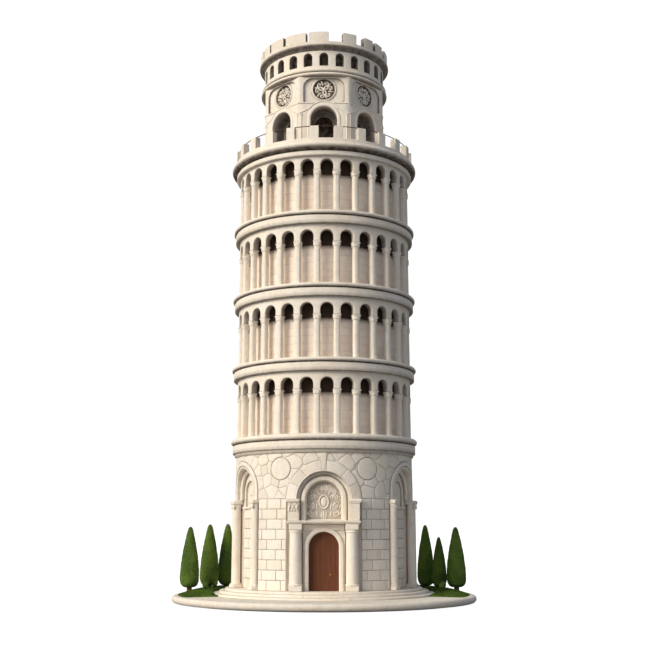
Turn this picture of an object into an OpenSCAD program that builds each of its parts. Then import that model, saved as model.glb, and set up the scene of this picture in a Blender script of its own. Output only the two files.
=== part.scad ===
// Shelf miniature of a round arcaded bell tower, built as stacked castings on a tie rod.
// Millimetres, +Z up, origin at the centre of the pad's underside, door facing -Y.

/* [Base] */
// Diameter of the round base disc over its rounded rim
base_d = 103.6; // [102:0.2:110]
// Height of the base disc's top above the table
base_top = 2.7; // [2.5:0.1:3.5]
// Diameter of the lowest of the three steps
step_d = 75.8; // [74:0.2:78]
// Width of each step's tread
step_tread = 2.1; // [1.8:0.1:2.2]

/* [Storeys] */
// Outer radius of the ground storey's wall
wall_r = 30.5; // [30:0.1:31]
// Height of the ground storey's wall
ground_h = 44.8; // [44:0.1:47]
// Height of one open gallery, floor to floor
storey_h = 25; // [24:0.1:27]
// Columns round each open gallery
columns = 28; // [24:2:32]
// Diameter of a gallery column's shaft
column_d = 2.1; // [1.6:0.1:2.4]
// Radius of the wall behind the gallery columns
core_r = 26.6; // [25:0.1:26.8]
// Radius of the rounded lip of each gallery floor
lip_r = 32.6; // [32.2:0.1:33]

/* [Top] */
// Height of the belfry's eight-sided drum
belfry_h = 28.1; // [28:0.1:29]
// Distance from the centre to a belfry corner
belfry_r = 22.2; // [21.8:0.1:22.6]
// Merlons round the terrace parapet
terrace_merlons = 24; // [16:1:28]
// Windows round the window band
band_windows = 24; // [16:1:26]

/* [Door] */
// Width of the arched doorway
door_w = 9.6; // [8:0.1:9.8]
// Height of the doorway's springing line above the plinth
door_spring_h = 13.7; // [12:0.1:14]

/* [Trees] */
// Height of the largest cypress's foliage
tree_h = 21.7; // [18:0.1:23]
// Width of the largest cypress
tree_w = 6.8; // [6:0.1:7.2]

/* [Hidden] */
$fn = 96;
far = 60;
play = 0.1;

// tie rod and its fastenings
rod_r = 2;
rod_bore_r = 2.1;
rod_head_r = 9;
rod_head_t = 0.75;
washer_r = 4.5;
washer_t = 0.5;
nut_r = 4.04;
nut_h = 3.2;
nut_bore_r = 2.02;
thread_gap = 0.02;
spigot_r = 12;
spigot_h = 1.5;

// base, lawn and steps
pad_r = 47.5;
pad_t = 0.9;
base_under = 0.4;
rim_r = (base_top - base_under) / 2;
lawn_floor = 1.9;
lawn_r = 49.7;
lawn_open = 66;
lawn_edge_top = 2.6;
lawn_rise = 1.9;
// the lawn's front ends slope down to the base
lawn_slope = 5;
lawn_slope_foot = 2.65;
lawn_slope_y = -21;
step_r = step_d / 2;
lower_top = base_top + 0.75;
middle_top = lower_top + 0.85;
plinth_top = middle_top + 0.8;
plinth_r = step_r - 2 * step_tread;

// portal
ground_top = plinth_top + ground_h;
door_half = door_w / 2;
door_spring = plinth_top + door_spring_h;
wall_back = 27.2;
architrave = 1.5;
surround_half = 6.8;
surround_front = 28.4;
portal_half = 12;
portal_col_x = 9;
portal_col_y = 29.47;
portal_col_r = 2;
portal_block = 4.2;
portal_block_h = 1.8;
capital_block = 4.5;
frieze_foot = plinth_top + 19.1;
frieze_half = 6.6;
frieze_front = 29;
ledge_foot = frieze_foot + 2;
ledge_top = ledge_foot + 1;
ledge_half = 11.9;
ledge_front = 32;
impost_foot = ledge_top + 5.8;
impost_top = impost_foot + 1.1;
stub_in = 7.9;
stub_out = 11.6;
stub_front = 30.4;
order_out = 12.2;
order_mid = 9.1;
order_in = 7.3;
lunette_r = 5.8;
mid_front = 28.2;
inner_front = 28.7;
lunette_back = 26.2;
lunette_front = 26.7;
band_proud = 0.35;

// door leaf and the room it opens into
leaf_t = 1.2;
leaf_lap = 0.5;
leaf_end_gap = 0.1;
hinge_x = -5.2;
hinge_y = -(wall_back - play - leaf_t / 2);
leaf_foot = plinth_top + leaf_end_gap;
leaf_top = plinth_top + 19.3;
room_top = leaf_top + 0.2;
room_back = 15;
room_left = 7.4;
room_right = 6;
pin_r = 0.4;
pin_bore_r = 0.45;
pin_in_leaf = 1.4;
pin_in_stone = 1.2;
knob_r = 0.4;
knob_x = 2.1;
knob_z = plinth_top + 5.1;

// blind bays and roundels
bays = [64, 122, 180, 238, 296];
bay_col_x = 8.4;
bay_col_y = 29.2;
bay_col_r = 1.5;
bay_block = 3.6;
bay_recess = bay_col_y - bay_col_r - play;
bay_out = 9.9;
bay_in = 7.3;
bay_spring = impost_top + 3;
bay_panel_half = 6.8;
bay_panel = 27;
string_half = bay_col_x - bay_block / 2 - play;
lancet_out = 4.8;
lancet_in = 4;
lancet_front = 27.8;
lancet_foot = impost_top - 2.2;
roundels = [27.5, 93, 151, 209, 267, 332.5];
roundel_r = 3.7;
roundel_z = ground_top - 6.1;
roundel_seat = 29.5;
roundel_proud = 0.25;

// galleries
fascia_r = 31.9;
fascia_h = 2.9;
groove = 0.5;
first_cornice_h = 5.1;
cornice_h = 4.5;
first_floor = ground_top + first_cornice_h;
arcade_out = 30.5;
arcade_in = 28.2;
column_at = 29.4;
column_h = 14.8;
column_base_h = 0.8;
capital_h = 1.2;
opening_w = 4.5;
gallery_turn = 2;
opening_crown = 18.6;

// terrace and belfry
terrace_foot = first_floor + 4 * storey_h - 5.6;
terrace_floor = terrace_foot + 4.6;
terrace_lip_r = 33.6;
parapet_sill = terrace_floor + 1.4;
merlon_top = parapet_sill + 4.4;
parapet_out = 32.2;
parapet_in = 29.9;
merlon_w = 3.1;
terrace_turn = 360 / terrace_merlons;
rail_r = 0.15;
belfry_flat = belfry_r * cos(22.5);
belfry_top = terrace_floor + belfry_h;
bell_half = 4.7;
bell_spring = terrace_floor + 12.4;
bell_depth = 4.5;
inner_half = 3.3;
inner_spring = bell_spring - 0.6;
inner_depth = 8.5;
bell_band = 1.4;
bell_proud = 0.35;
medallion_r = 4.3;
medallion_z = belfry_top - 4.4;
medallion_seat = 0.5;
belfry_lip_r = 23.4;
belfry_cap_top = belfry_top + 2.8;

// window band and crown
band_r = 22.1;
band_top = belfry_cap_top + 6.9;
window_half = 1.55;
window_sill = belfry_cap_top + 1.2;
window_spring = window_sill + 3.3;
window_depth = 3;
nut_pocket_r = 6;
nut_floor = belfry_cap_top + 2;
rod_top = nut_floor + washer_t + nut_h + 0.6;
crown_lip_r = 24.1;
crown_floor = band_top + 2.5;
crown_top = crown_floor + 4.1;
crown_out = 23.7;
crown_in = 21.4;
roof_r = 21.2;
roof_t = 0.7;
// centre and width, in degrees, of each gap between the crown's merlons
crown_gaps = [[-70, 2], [-55.6, 2], [-37, 2.6], [-14.6, 2.4], [10.5, 13], [33.8, 8.5], [50.3, 3.6],
              [67, 6], [87, 8], [107, 8], [127, 8], [147, 8], [167, 8], [187, 8], [207, 8],
              [227, 8], [247, 8], [267, 8]];

// planting
trunk_r = 0.9;
trunk_in_tree = 2;
tree_foot = 4.75;
// each tree's place, and its height and width as shares of the largest tree's
trees = [[-46.6, 3, 0.95, 0.985], [-40.9, 14, 0.99, 1], [-35, 19.2, 1, 1],
         [36.5, 16, 0.98, 0.9], [40.6, 9, 0.785, 0.75], [46, 4, 0.945, 1]];
// each bush's place and radius
bushes = [[-38.4, 9, 1.2], [-40.6, -1, 1.2], [41, 1, 1.2], [39.8, -6, 1.1]];
bush_foot = 4;

// A solid cylinder between two heights
module disc(r, z0, z1) {
    translate([0, 0, z0]) cylinder(r = r, h = z1 - z0);
}

// A ring between two radii and two heights
module ring(r0, r1, z0, z1) {
    difference() {
        disc(r1, z0, z1);
        disc(r0, z0 - 1, z1 + 1);
    }
}

// Removes the tie rod's bore
module bored() {
    difference() {
        children();
        disc(rod_bore_r, -1, crown_top);
    }
}

// An upright XZ outline as a slab whose faces are near and out from the tower's axis
module slab(near, out) {
    translate([0, -near, 0]) rotate([90, 0, 0]) linear_extrude(out - near) children();
}

// A box across the front, by half width, distances from the axis and heights
module block(half, near, out, z0, z1) {
    translate([-half, -out, z0]) cube([2 * half, out - near, z1 - z0]);
}

// A round-headed outline
module arch(half, foot, spring) {
    if (spring > foot) translate([-half, foot]) square([2 * half, spring - foot]);
    intersection() {
        translate([0, spring]) circle(half);
        translate([-half, spring]) square([2 * half, half + 1]);
    }
}

// A round-headed band between two half widths
module arch_band(inner, outer, foot, spring) {
    difference() {
        arch(outer, foot, spring);
        translate([0, spring]) circle(inner);
        if (spring > foot) translate([-inner, foot - 1]) square([2 * inner, spring - foot + 1]);
    }
}

// Children repeated on the left and on the right
module both_sides() {
    children();
    mirror([1, 0, 0]) children();
}

// Points along an arc, from angle a0 to a1
function arc(cx, cy, r, a0, a1, n) =
    [for (i = [0 : n]) let (a = a0 + (a1 - a0) * i / n) [cx + r * cos(a), cy + r * sin(a)]];

// Points along a cubic curve
function bezier(p, n) =
    [for (i = [0 : n]) let (t = i / n, u = 1 - t)
        u * u * u * p[0] + 3 * u * u * t * p[1] + 3 * u * t * t * p[2] + t * t * t * p[3]];

module base_pad() {
    color("dimgray") disc(pad_r, 0, pad_t);
}

module base_disc() {
    rim = arc(base_d / 2 - rim_r, base_under + rim_r, rim_r, -90, 90, 12);
    color("antiquewhite") bored() difference() {
        rotate_extrude() polygon(concat([[0, base_under]], rim, [[0, base_top]]));
        disc(pad_r + play, 0, pad_t);
        disc(rod_head_r + play, 0, pad_t + rod_head_t);
        rotate_extrude(angle = 360 - 2 * lawn_open + 1, start = lawn_open - 90.5)
            translate([step_r + play, lawn_floor]) square([lawn_r - step_r, base_top]);
    }
}

module lawn() {
    inner = step_r + 2 * play;
    width = lawn_r - inner;
    top = [for (i = [0 : 10]) let (t = i / 10)
        [lawn_r - width * t, lawn_edge_top + lawn_rise * sin(115 * t)]];
    color("olivedrab") difference() {
        rotate_extrude(angle = 360 - 2 * lawn_open, start = lawn_open - 90)
            polygon(concat([[inner, lawn_floor], [lawn_r, lawn_floor]], top));
        translate([0, lawn_slope_y, lawn_slope_foot]) rotate([lawn_slope, 0, 0])
            translate([-base_d, -base_d, 0]) cube([2 * base_d, 2 * base_d, base_d]);
        for (t = trees) translate([t[0], t[1], 0]) disc(trunk_r + play, 0, tree_foot);
        for (b = bushes) translate([b[0], b[1], 0]) disc(b[2] / 2 + play, 0, tree_foot);
    }
}

// Two round treads cast in one
module steps() {
    color("antiquewhite") bored() union() {
        disc(step_r, base_top, lower_top);
        disc(step_r - step_tread, base_top, middle_top);
    }
}

module step_plinth() {
    color("antiquewhite") bored() difference() {
        union() {
            disc(plinth_r, middle_top, plinth_top);
            disc(spigot_r, middle_top, plinth_top + spigot_h);
        }
        translate([hinge_x, hinge_y, 0]) disc(pin_r, middle_top - 1, plinth_top + 1);
    }
}

// The door's storey, up to the ledge over the portal
module ground_drum() {
    color("antiquewhite") bored() difference() {
        union() {
            disc(wall_r, plinth_top, ledge_top);
            disc(spigot_r, plinth_top, ledge_top + spigot_h);
        }
        disc(spigot_r + play, 0, plinth_top + spigot_h + play);
        block(portal_half, wall_back, far, 0, ledge_top + 1);
        door_room();
        for (a = bays) rotate([0, 0, a]) bay_recess();
        translate([hinge_x, hinge_y, 0]) disc(pin_r, room_top - 1, room_top + pin_in_stone);
    }
}

// The upper half of the ground storey, with the arches' heads and the roundels
module arch_drum() {
    color("antiquewhite") bored() difference() {
        disc(wall_r, ledge_top, ground_top);
        disc(spigot_r + play, 0, ledge_top + spigot_h + play);
        slab(wall_back, far) arch(order_out, ledge_foot, impost_top);
        slab(lunette_back, far) arch(lunette_r, ledge_foot, impost_top);
        for (a = bays) rotate([0, 0, a]) bay_recess();
        for (a = roundels) rotate([0, 0, a]) roundel_bore(roundel_seat);
    }
}

// The pocket behind the doorway that the leaf swings into
module door_room() {
    translate([-room_left, -wall_back - 1, 0])
        cube([room_left + room_right, wall_back + 1 - room_back, room_top]);
}

module bay_recess() {
    slab(bay_recess, far) arch(bay_out, 0, bay_spring);
    slab(bay_col_y - bay_block / 2 - play, far) both_sides()
        translate([bay_col_x - bay_block / 2 - play, 0]) square([bay_block + 2 * play, impost_top]);
    slab(bay_panel, far) arch(bay_panel_half, 0, bay_spring);
}

module roundel_bore(near) {
    translate([0, -near, roundel_z]) rotate([90, 0, 0]) cylinder(r = roundel_r, h = far);
}

module door_leaf() {
    color("saddlebrown") difference() {
        union() {
            translate([hinge_x, -wall_back + play, leaf_foot])
                cube([door_half + leaf_lap - hinge_x, leaf_t, leaf_top - leaf_foot]);
            translate([hinge_x, hinge_y, 0]) disc(leaf_t / 2, leaf_foot, leaf_top);
        }
        translate([hinge_x, hinge_y, 0]) disc(pin_bore_r, 0, leaf_foot + pin_in_leaf + play);
        translate([hinge_x, hinge_y, 0]) disc(pin_bore_r, leaf_top - pin_in_leaf - play, far);
    }
}

module door_pins() {
    color("darkgoldenrod") translate([hinge_x, hinge_y, 0]) {
        disc(pin_r, middle_top, leaf_foot + pin_in_leaf);
        disc(pin_r, leaf_top - pin_in_leaf, room_top + pin_in_stone);
    }
}

module door_knob() {
    color("darkgoldenrod") translate([knob_x, -wall_back + play, knob_z])
        rotate([90, 0, 0]) cylinder(r = knob_r, h = knob_r);
}

module door_surround() {
    color("antiquewhite") difference() {
        union() {
            block(surround_half, wall_back, surround_front, plinth_top, frieze_foot);
            slab(wall_back, surround_front + 0.8)
                arch_band(door_half, door_half + architrave, plinth_top, door_spring - 0.9);
        }
        slab(wall_back - 1, far) arch(door_half, 0, door_spring);
    }
}

module portal_columns() {
    color("antiquewhite") both_sides() translate([portal_col_x, -portal_col_y, 0]) {
        square_block(portal_block, plinth_top, plinth_top + portal_block_h);
        disc(portal_col_r, plinth_top + portal_block_h, frieze_foot);
        square_block(capital_block, frieze_foot, ledge_foot);
    }
}

// A square block about the local axis
module square_block(side, z0, z1) {
    translate([-side / 2, -side / 2, z0]) cube([side, side, z1 - z0]);
}

module portal_lintel() {
    color("antiquewhite") {
        block(frieze_half, wall_back, frieze_front, frieze_foot, ledge_foot);
        block(ledge_half, wall_back, ledge_front, ledge_foot, ledge_top);
    }
}

module portal_imposts() {
    color("antiquewhite") both_sides() {
        translate([stub_in, -stub_front, ledge_top])
            cube([stub_out - stub_in, stub_front - wall_back, impost_foot - ledge_top]);
        translate([stub_in, -stub_front - 0.5, impost_foot])
            cube([order_out - stub_in, stub_front + 0.5 - wall_back, impost_top - impost_foot]);
    }
}

module portal_archivolt() {
    color("antiquewhite") {
        intersection() {
            slab(wall_back, far) arch_band(order_mid, order_out, impost_top, impost_top);
            disc(wall_r + band_proud, impost_top, ground_top);
        }
        slab(wall_back, mid_front) {
            arch_band(lunette_r, order_mid + play, impost_top, impost_top);
            both_sides() translate([lunette_r, ledge_top])
                square([stub_in - lunette_r, impost_top - ledge_top]);
        }
        slab(wall_back, inner_front) arch_band(lunette_r, order_in, ledge_top, impost_top);
    }
}

module portal_lunette() {
    color("antiquewhite") slab(lunette_back, lunette_front) arch(lunette_r, ledge_top, impost_top);
}

module blind_arch(a) {
    color("antiquewhite") rotate([0, 0, a]) {
        intersection() {
            slab(bay_recess, far) arch_band(bay_in, bay_out, impost_top, bay_spring);
            disc(wall_r + band_proud, impost_top, ground_top);
        }
        slab(bay_panel, lancet_front) {
            arch_band(lancet_in, lancet_out, lancet_foot, impost_top + 2.4);
            translate([-string_half, lancet_foot - 0.7]) square([2 * string_half, 0.7]);
        }
    }
}

module blind_columns() {
    color("antiquewhite") for (a = bays) rotate([0, 0, a]) both_sides()
        translate([bay_col_x, -bay_col_y, 0]) {
            square_block(bay_block, plinth_top, plinth_top + 1.2);
            disc(bay_col_r, plinth_top + 1.2, impost_top - 2.6);
            square_block(bay_block, impost_top - 2.6, impost_top);
        }
}

module roundel_set() {
    color("antiquewhite") for (a = roundels) intersection() {
        rotate([0, 0, a]) roundel_bore(roundel_seat);
        disc(wall_r + roundel_proud, impost_top, ground_top, $fn = 360);
    }
}

// A floor casting: plain fascia, dark groove and rounded lip, with a spigot for the wall above
module cornice(foot, h) {
    lip_foot = foot + fascia_h + groove / 2;
    round_r = (foot + h - lip_foot) / 2;
    lip = arc(lip_r - round_r, lip_foot + round_r, round_r, -90, 90, 10);
    color("antiquewhite") bored() union() {
        rotate_extrude() polygon(concat([[0, foot], [fascia_r, foot], [fascia_r, foot + fascia_h],
            [fascia_r - groove, foot + fascia_h], [fascia_r - groove, lip_foot]],
            lip, [[0, foot + h]]));
        disc(spigot_r, foot + h - 1, foot + h + spigot_h);
    }
}

function floor_z(i) = first_floor + i * storey_h;
function roof_z(i) = i < 3 ? floor_z(i + 1) - cornice_h : terrace_foot;

module gallery_wall(i) {
    color("bisque") bored() difference() {
        disc(core_r, floor_z(i), roof_z(i));
        disc(spigot_r + play, 0, floor_z(i) + spigot_h + play);
    }
}

module gallery_columns(i) {
    foot_r = 1.3;
    shaft_r = column_d / 2;
    outline = [[0, 0], [foot_r, 0], [foot_r, column_base_h], [shaft_r, column_base_h],
        [shaft_r, column_h - capital_h], [foot_r, column_h - capital_h / 2], [foot_r, column_h],
        [0, column_h]];
    color("antiquewhite") for (k = [0 : columns - 1])
        rotate([0, 0, gallery_turn + (k + 0.5) * 360 / columns]) translate([0, -column_at, floor_z(i)])
            rotate_extrude($fn = 32) polygon(outline);
}

module gallery_arcade(i) {
    foot = floor_z(i) + column_h;
    color("antiquewhite") difference() {
        ring(arcade_in, arcade_out, foot, roof_z(i));
        for (k = [0 : columns - 1]) rotate([0, 0, gallery_turn + k * 360 / columns])
            slab(arcade_in - 1, arcade_out + 1)
                arch(opening_w / 2, foot - 1, floor_z(i) + opening_crown - opening_w / 2);
    }
}

module terrace_cornice() {
    lip = arc(terrace_lip_r - 1.2, terrace_foot + 3.4, 1.2, -90, 90, 10);
    color("antiquewhite") bored() union() {
        rotate_extrude() polygon(concat([[0, terrace_foot], [fascia_r, terrace_foot],
            [fascia_r, terrace_foot + 1.7], [fascia_r + 0.2, terrace_foot + 2.2]],
            lip, [[0, terrace_floor]]));
        disc(spigot_r, terrace_foot, terrace_floor + spigot_h);
    }
}

module terrace_parapet() {
    color("antiquewhite") {
        ring(parapet_in, parapet_out, terrace_floor, parapet_sill);
        intersection() {
            ring(parapet_in, parapet_out, parapet_sill, merlon_top);
            for (k = [0 : terrace_merlons - 1]) rotate([0, 0, (k - 0.4) * terrace_turn])
                block(merlon_w / 2, parapet_in - 2, parapet_out + 2, parapet_sill, merlon_top);
        }
    }
}

// A thin wire that rests on the merlons' tops
module terrace_rail() {
    color("saddlebrown") rotate_extrude()
        translate([(parapet_in + parapet_out) / 2, merlon_top + rail_r]) circle(rail_r, $fn = 16);
}

module belfry_drum() {
    color("antiquewhite") bored() difference() {
        rotate([0, 0, 22.5]) translate([0, 0, terrace_floor]) cylinder(r = belfry_r, h = belfry_h, $fn = 8);
        disc(spigot_r + play, 0, terrace_floor + spigot_h + play);
        for (k = [0 : 7]) rotate([0, 0, k * 45]) {
            slab(belfry_flat - bell_depth, far) arch(bell_half, terrace_floor, bell_spring);
            slab(belfry_flat - inner_depth, far) arch(inner_half, terrace_floor, inner_spring);
            medallion_bore(belfry_flat - medallion_seat);
        }
    }
}

module medallion_bore(near) {
    translate([0, -near, medallion_z]) rotate([90, 0, 0]) cylinder(r = medallion_r, h = 4);
}

module belfry_archivolts() {
    color("antiquewhite") for (k = [0 : 7]) rotate([0, 0, k * 45])
        slab(belfry_flat, belfry_flat + bell_proud)
            arch_band(bell_half, bell_half + bell_band, terrace_floor, bell_spring);
}

module belfry_medallions() {
    color("antiquewhite") for (k = [0 : 7]) rotate([0, 0, k * 45])
        translate([0, -belfry_flat + medallion_seat, medallion_z]) rotate([90, 0, 0])
            cylinder(r = medallion_r, h = medallion_seat + 0.3);
}

module belfry_cornice() {
    low = arc(belfry_lip_r - 0.6, belfry_top + 0.6, 0.6, -90, 90, 8);
    high = arc(belfry_lip_r - 0.8, belfry_cap_top - 0.6, 0.6, -90, 90, 8);
    color("antiquewhite") bored() rotate_extrude()
        polygon(concat([[0, belfry_top]], low, [[band_r, belfry_top + 1.4]], high,
            [[0, belfry_cap_top]]));
}

module window_band() {
    color("antiquewhite") bored() difference() {
        disc(band_r, belfry_cap_top, band_top);
        for (k = [0 : band_windows - 1]) rotate([0, 0, k * 360 / band_windows])
            slab(band_r - window_depth, far) arch(window_half, window_sill, window_spring);
        disc(nut_pocket_r, nut_floor, band_top + 1);
    }
}

module crown_cornice() {
    lip = arc(crown_lip_r - 0.75, crown_floor - 0.75, 0.75, -90, 90, 8);
    color("antiquewhite") difference() {
        rotate_extrude() polygon(concat([[0, band_top], [band_r + 0.2, band_top],
            [band_r + 0.5, band_top + 0.8]], lip, [[0, crown_floor]]));
        disc(roof_r + play, crown_floor - roof_t, crown_floor + 1);
    }
}

module crown_parapet() {
    color("antiquewhite") difference() {
        ring(crown_in, crown_out, crown_floor, crown_top);
        for (g = crown_gaps) rotate([0, 0, g[0] - g[1] / 2 - 90])
            rotate_extrude(angle = g[1]) translate([crown_in - 1, crown_floor + 0.4])
                square([crown_out - crown_in + 2, crown_top]);
    }
}

module roof_slab() {
    color("bisque") disc(roof_r, crown_floor - roof_t, crown_floor + 0.2);
}

module tie_rod() {
    color("silver") {
        disc(rod_head_r, pad_t, pad_t + rod_head_t);
        disc(rod_r, pad_t, rod_top);
    }
}

// A washer and a hexagon nut, in the pocket under the crown
module tie_fastenings() {
    color("silver") {
        ring(nut_bore_r, washer_r, nut_floor, nut_floor + washer_t);
        translate([0, 0, nut_floor + washer_t + thread_gap]) difference() {
            cylinder(r = nut_r, h = nut_h, $fn = 6);
            disc(nut_bore_r, -1, nut_h + 1);
        }
    }
}

// Tucked-in foot, fattest a sixth of the way up, then a long taper to a rounded tip
module cypress(i) {
    h = tree_h * trees[i][2];
    w = tree_w / 2 * trees[i][3];
    foot = bezier([[0.4, 0], [0.85, 0.01], [1, 0.07], [1, 0.16]], 7);
    flank = bezier([[1, 0.16], [1, 0.38], [0.46, 0.78], [0.24, 0.94]], 14);
    tip = bezier([[0.24, 0.94], [0.19, 0.98], [0.1, 1], [0, 1]], 5);
    outline = [for (p = concat(foot, flank, tip)) [w * p[0], h * p[1]]];
    color("darkgreen") translate([trees[i][0], trees[i][1], tree_foot]) difference() {
        rotate_extrude($fn = 48) polygon(concat([[0, 0]], outline));
        translate([0, 0, -1]) cylinder(r = trunk_r + play, h = trunk_in_tree + 1);
    }
}

module cypress_trunks() {
    color("saddlebrown") for (t = trees) translate([t[0], t[1], 0])
        disc(trunk_r, lawn_floor, tree_foot + trunk_in_tree);
}

module bush_set() {
    color("darkgreen") for (b = bushes) translate([b[0], b[1], 0]) {
        disc(b[2] / 2, lawn_floor, bush_foot + b[2]);
        translate([0, 0, bush_foot + 0.6 + b[2]]) sphere(b[2], $fn = 32);
    }
}

base_pad();
base_disc();
lawn();
steps();
step_plinth();
ground_drum();
arch_drum();
door_leaf();
door_pins();
door_knob();
door_surround();
portal_columns();
portal_lintel();
portal_imposts();
portal_archivolt();
portal_lunette();
blind_arch(bays[0]);  // blind_arch_right
blind_arch(bays[1]);  // blind_arch_back_right
blind_arch(bays[2]);  // blind_arch_back
blind_arch(bays[3]);  // blind_arch_back_left
blind_arch(bays[4]);  // blind_arch_left
blind_columns();
roundel_set();  // roundels
cornice(ground_top, first_cornice_h);  // cornice_1
gallery_wall(0);  // gallery_wall_1
gallery_columns(0);  // gallery_columns_1
gallery_arcade(0);  // gallery_arcade_1
cornice(roof_z(0), cornice_h);  // cornice_2
gallery_wall(1);  // gallery_wall_2
gallery_columns(1);  // gallery_columns_2
gallery_arcade(1);  // gallery_arcade_2
cornice(roof_z(1), cornice_h);  // cornice_3
gallery_wall(2);  // gallery_wall_3
gallery_columns(2);  // gallery_columns_3
gallery_arcade(2);  // gallery_arcade_3
cornice(roof_z(2), cornice_h);  // cornice_4
gallery_wall(3);  // gallery_wall_4
gallery_columns(3);  // gallery_columns_4
gallery_arcade(3);  // gallery_arcade_4
terrace_cornice();
terrace_parapet();
terrace_rail();
belfry_drum();
belfry_archivolts();
belfry_medallions();
belfry_cornice();
window_band();
crown_cornice();
crown_parapet();
roof_slab();
tie_rod();
tie_fastenings();
cypress_trunks();
cypress(0);  // cypress_left_front
cypress(1);  // cypress_left_middle
cypress(2);  // cypress_left_back
cypress(3);  // cypress_right_back
cypress(4);  // cypress_right_middle
cypress(5);  // cypress_right_front
bush_set();  // bushes
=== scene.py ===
import math
import random

import bmesh
import bpy
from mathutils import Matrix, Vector


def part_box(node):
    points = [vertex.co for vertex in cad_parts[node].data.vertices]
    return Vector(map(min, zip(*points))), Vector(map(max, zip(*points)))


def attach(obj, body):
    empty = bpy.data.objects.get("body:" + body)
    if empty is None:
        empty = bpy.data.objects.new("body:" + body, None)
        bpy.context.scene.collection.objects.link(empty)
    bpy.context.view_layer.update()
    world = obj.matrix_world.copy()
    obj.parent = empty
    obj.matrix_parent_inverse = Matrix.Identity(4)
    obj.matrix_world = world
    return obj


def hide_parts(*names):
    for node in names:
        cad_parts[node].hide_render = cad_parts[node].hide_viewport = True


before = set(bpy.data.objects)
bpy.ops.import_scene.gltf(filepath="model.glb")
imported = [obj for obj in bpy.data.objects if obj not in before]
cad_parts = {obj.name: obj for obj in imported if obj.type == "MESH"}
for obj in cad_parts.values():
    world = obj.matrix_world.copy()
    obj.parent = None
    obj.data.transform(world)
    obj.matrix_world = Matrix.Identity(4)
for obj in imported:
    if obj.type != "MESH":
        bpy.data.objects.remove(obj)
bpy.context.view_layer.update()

MM = 0.001
TAU = 2 * math.pi
TOWER = "tower"
DOOR = "door"


# ---------------------------------------------------------------- sizes, in millimetres

def mm_box(node):
    lo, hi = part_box(node)
    return [v / MM for v in lo], [v / MM for v in hi]


def low(node):
    return mm_box(node)[0][2]


def high(node):
    return mm_box(node)[1][2]


def reach(node):
    return mm_box(node)[1][0]


WALL_R = reach("ground_drum")
FLOOR_0 = low("ground_drum")
GROUND_TOP = high("arch_drum")
CORE_R = reach("gallery_wall_1")
ARCADE_R = reach("gallery_arcade_1")
BASE_R = reach("base_disc")
STEP_INNER = 10.1
LEDGE_TOP = high("portal_lintel")
IMPOST_TOP = high("portal_imposts")
COLUMNS = 28
COLUMN_AT = 29.4
GALLERY_TURN = 2
BELFRY_FLAT = reach("belfry_drum")
BELFRY_FRONT = BELFRY_FLAT + 0.85
BELFRY_EDGE = BELFRY_FRONT * math.tan(math.radians(22.5))
BELFRY_SPRING = 166.4
NICHE_SPRING = 165.8
BELFRY_COURSE = 172.3
MEDAL_Z = 177.7
BAYS = (64, 122, 180, 238, 296)
BAY_NAMES = ("right", "back_right", "back", "back_left", "left")
ROUNDELS = (27.5, 93, 151, 209, 267, 332.5)
ROUNDEL_R = 3.7
ROUNDEL_Z = GROUND_TOP - 6.1
BAY_SPRING = IMPOST_TOP + 3
BAY_OUT = 9.9
ORDER_IN = 9.1
ORDER_OUT = 12.2


# ---------------------------------------------------------------- mesh builder

class Mesh:
    """Collects points in millimetres and faces, with each point's darkening (0 to 1: painted shade, and the
    dark of joints) and tint (-1 to 1).
    """

    def __init__(self):
        self.points, self.faces, self.depth, self.tint = [], [], [], []
        self.tint_now = 0.0

    def ring(self, points, depth=0.0):
        """Adds points, with one darkening for all or one for each, and gives their numbers."""
        base = len(self.points)
        self.points += points
        self.depth += depth if isinstance(depth, list) else [depth] * len(points)
        self.tint += [self.tint_now] * len(points)
        return list(range(base, base + len(points)))

    def strip(self, ring_a, ring_b, closed=True):
        """Joins two rings of point numbers with quads."""
        n = len(ring_a)
        for i in range(n if closed else n - 1):
            j = (i + 1) % n
            self.faces.append([ring_a[i], ring_a[j], ring_b[j], ring_b[i]])

    def loft(self, rings, caps=True, closed=True):
        """Joins rings in turn; the first and the last can be closed with a face."""
        for a, b in zip(rings, rings[1:]):
            self.strip(a, b, closed)
        if caps:
            self.faces += [rings[0][::-1], rings[-1]]

    def fan(self, ring, tip):
        """Closes a ring to a point."""
        end = self.ring([tip])[0]
        for a, b in zip(ring, ring[1:] + ring[:1]):
            self.faces.append([a, b, end])

    def build(self, name, node=None, slot="cream_stone", body=TOWER, angle=40, merge=True):
        """Makes the piece, which stands for a CAD node where one is given."""
        mesh = bpy.data.meshes.new(name)
        mesh.from_pydata([(x * MM, y * MM, z * MM) for x, y, z in self.points], [], self.faces)
        # The darkening goes to the materials, which paint shade and dark joints by it.
        for label, values in (("shade_and_joints", self.depth), ("tint", self.tint)):
            mesh.attributes.new(label, "FLOAT", "POINT").data.foreach_set("value", values)
        bm = bmesh.new()
        bm.from_mesh(mesh)
        if merge:
            bmesh.ops.remove_doubles(bm, verts=bm.verts, dist=0.004 * MM)
        bmesh.ops.dissolve_degenerate(bm, edges=bm.edges, dist=0.001 * MM)
        bmesh.ops.recalc_face_normals(bm, faces=bm.faces)
        bm.to_mesh(mesh)
        bm.free()
        mesh.materials.append(FINISHES[slot])
        for polygon in mesh.polygons:
            polygon.use_smooth = True
        mesh.set_sharp_from_angle(angle=math.radians(angle))
        obj = bpy.data.objects.new(name, mesh)
        bpy.context.scene.collection.objects.link(obj)
        obj.modifiers.new("weighted", "WEIGHTED_NORMAL").keep_sharp = True
        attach(obj, body)
        if node:
            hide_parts(node)


# ---------------------------------------------------------------- places

def polar(r, a, z):
    return r * math.sin(a), -r * math.cos(a), z


def flat(azimuth):
    """A map from (across, up, out) on a flat front face to the tower, turned to an azimuth."""
    c, s = math.cos(math.radians(azimuth)), math.sin(math.radians(azimuth))
    return lambda u, z, d: (u * c + d * s, u * s - d * c, z)


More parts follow.
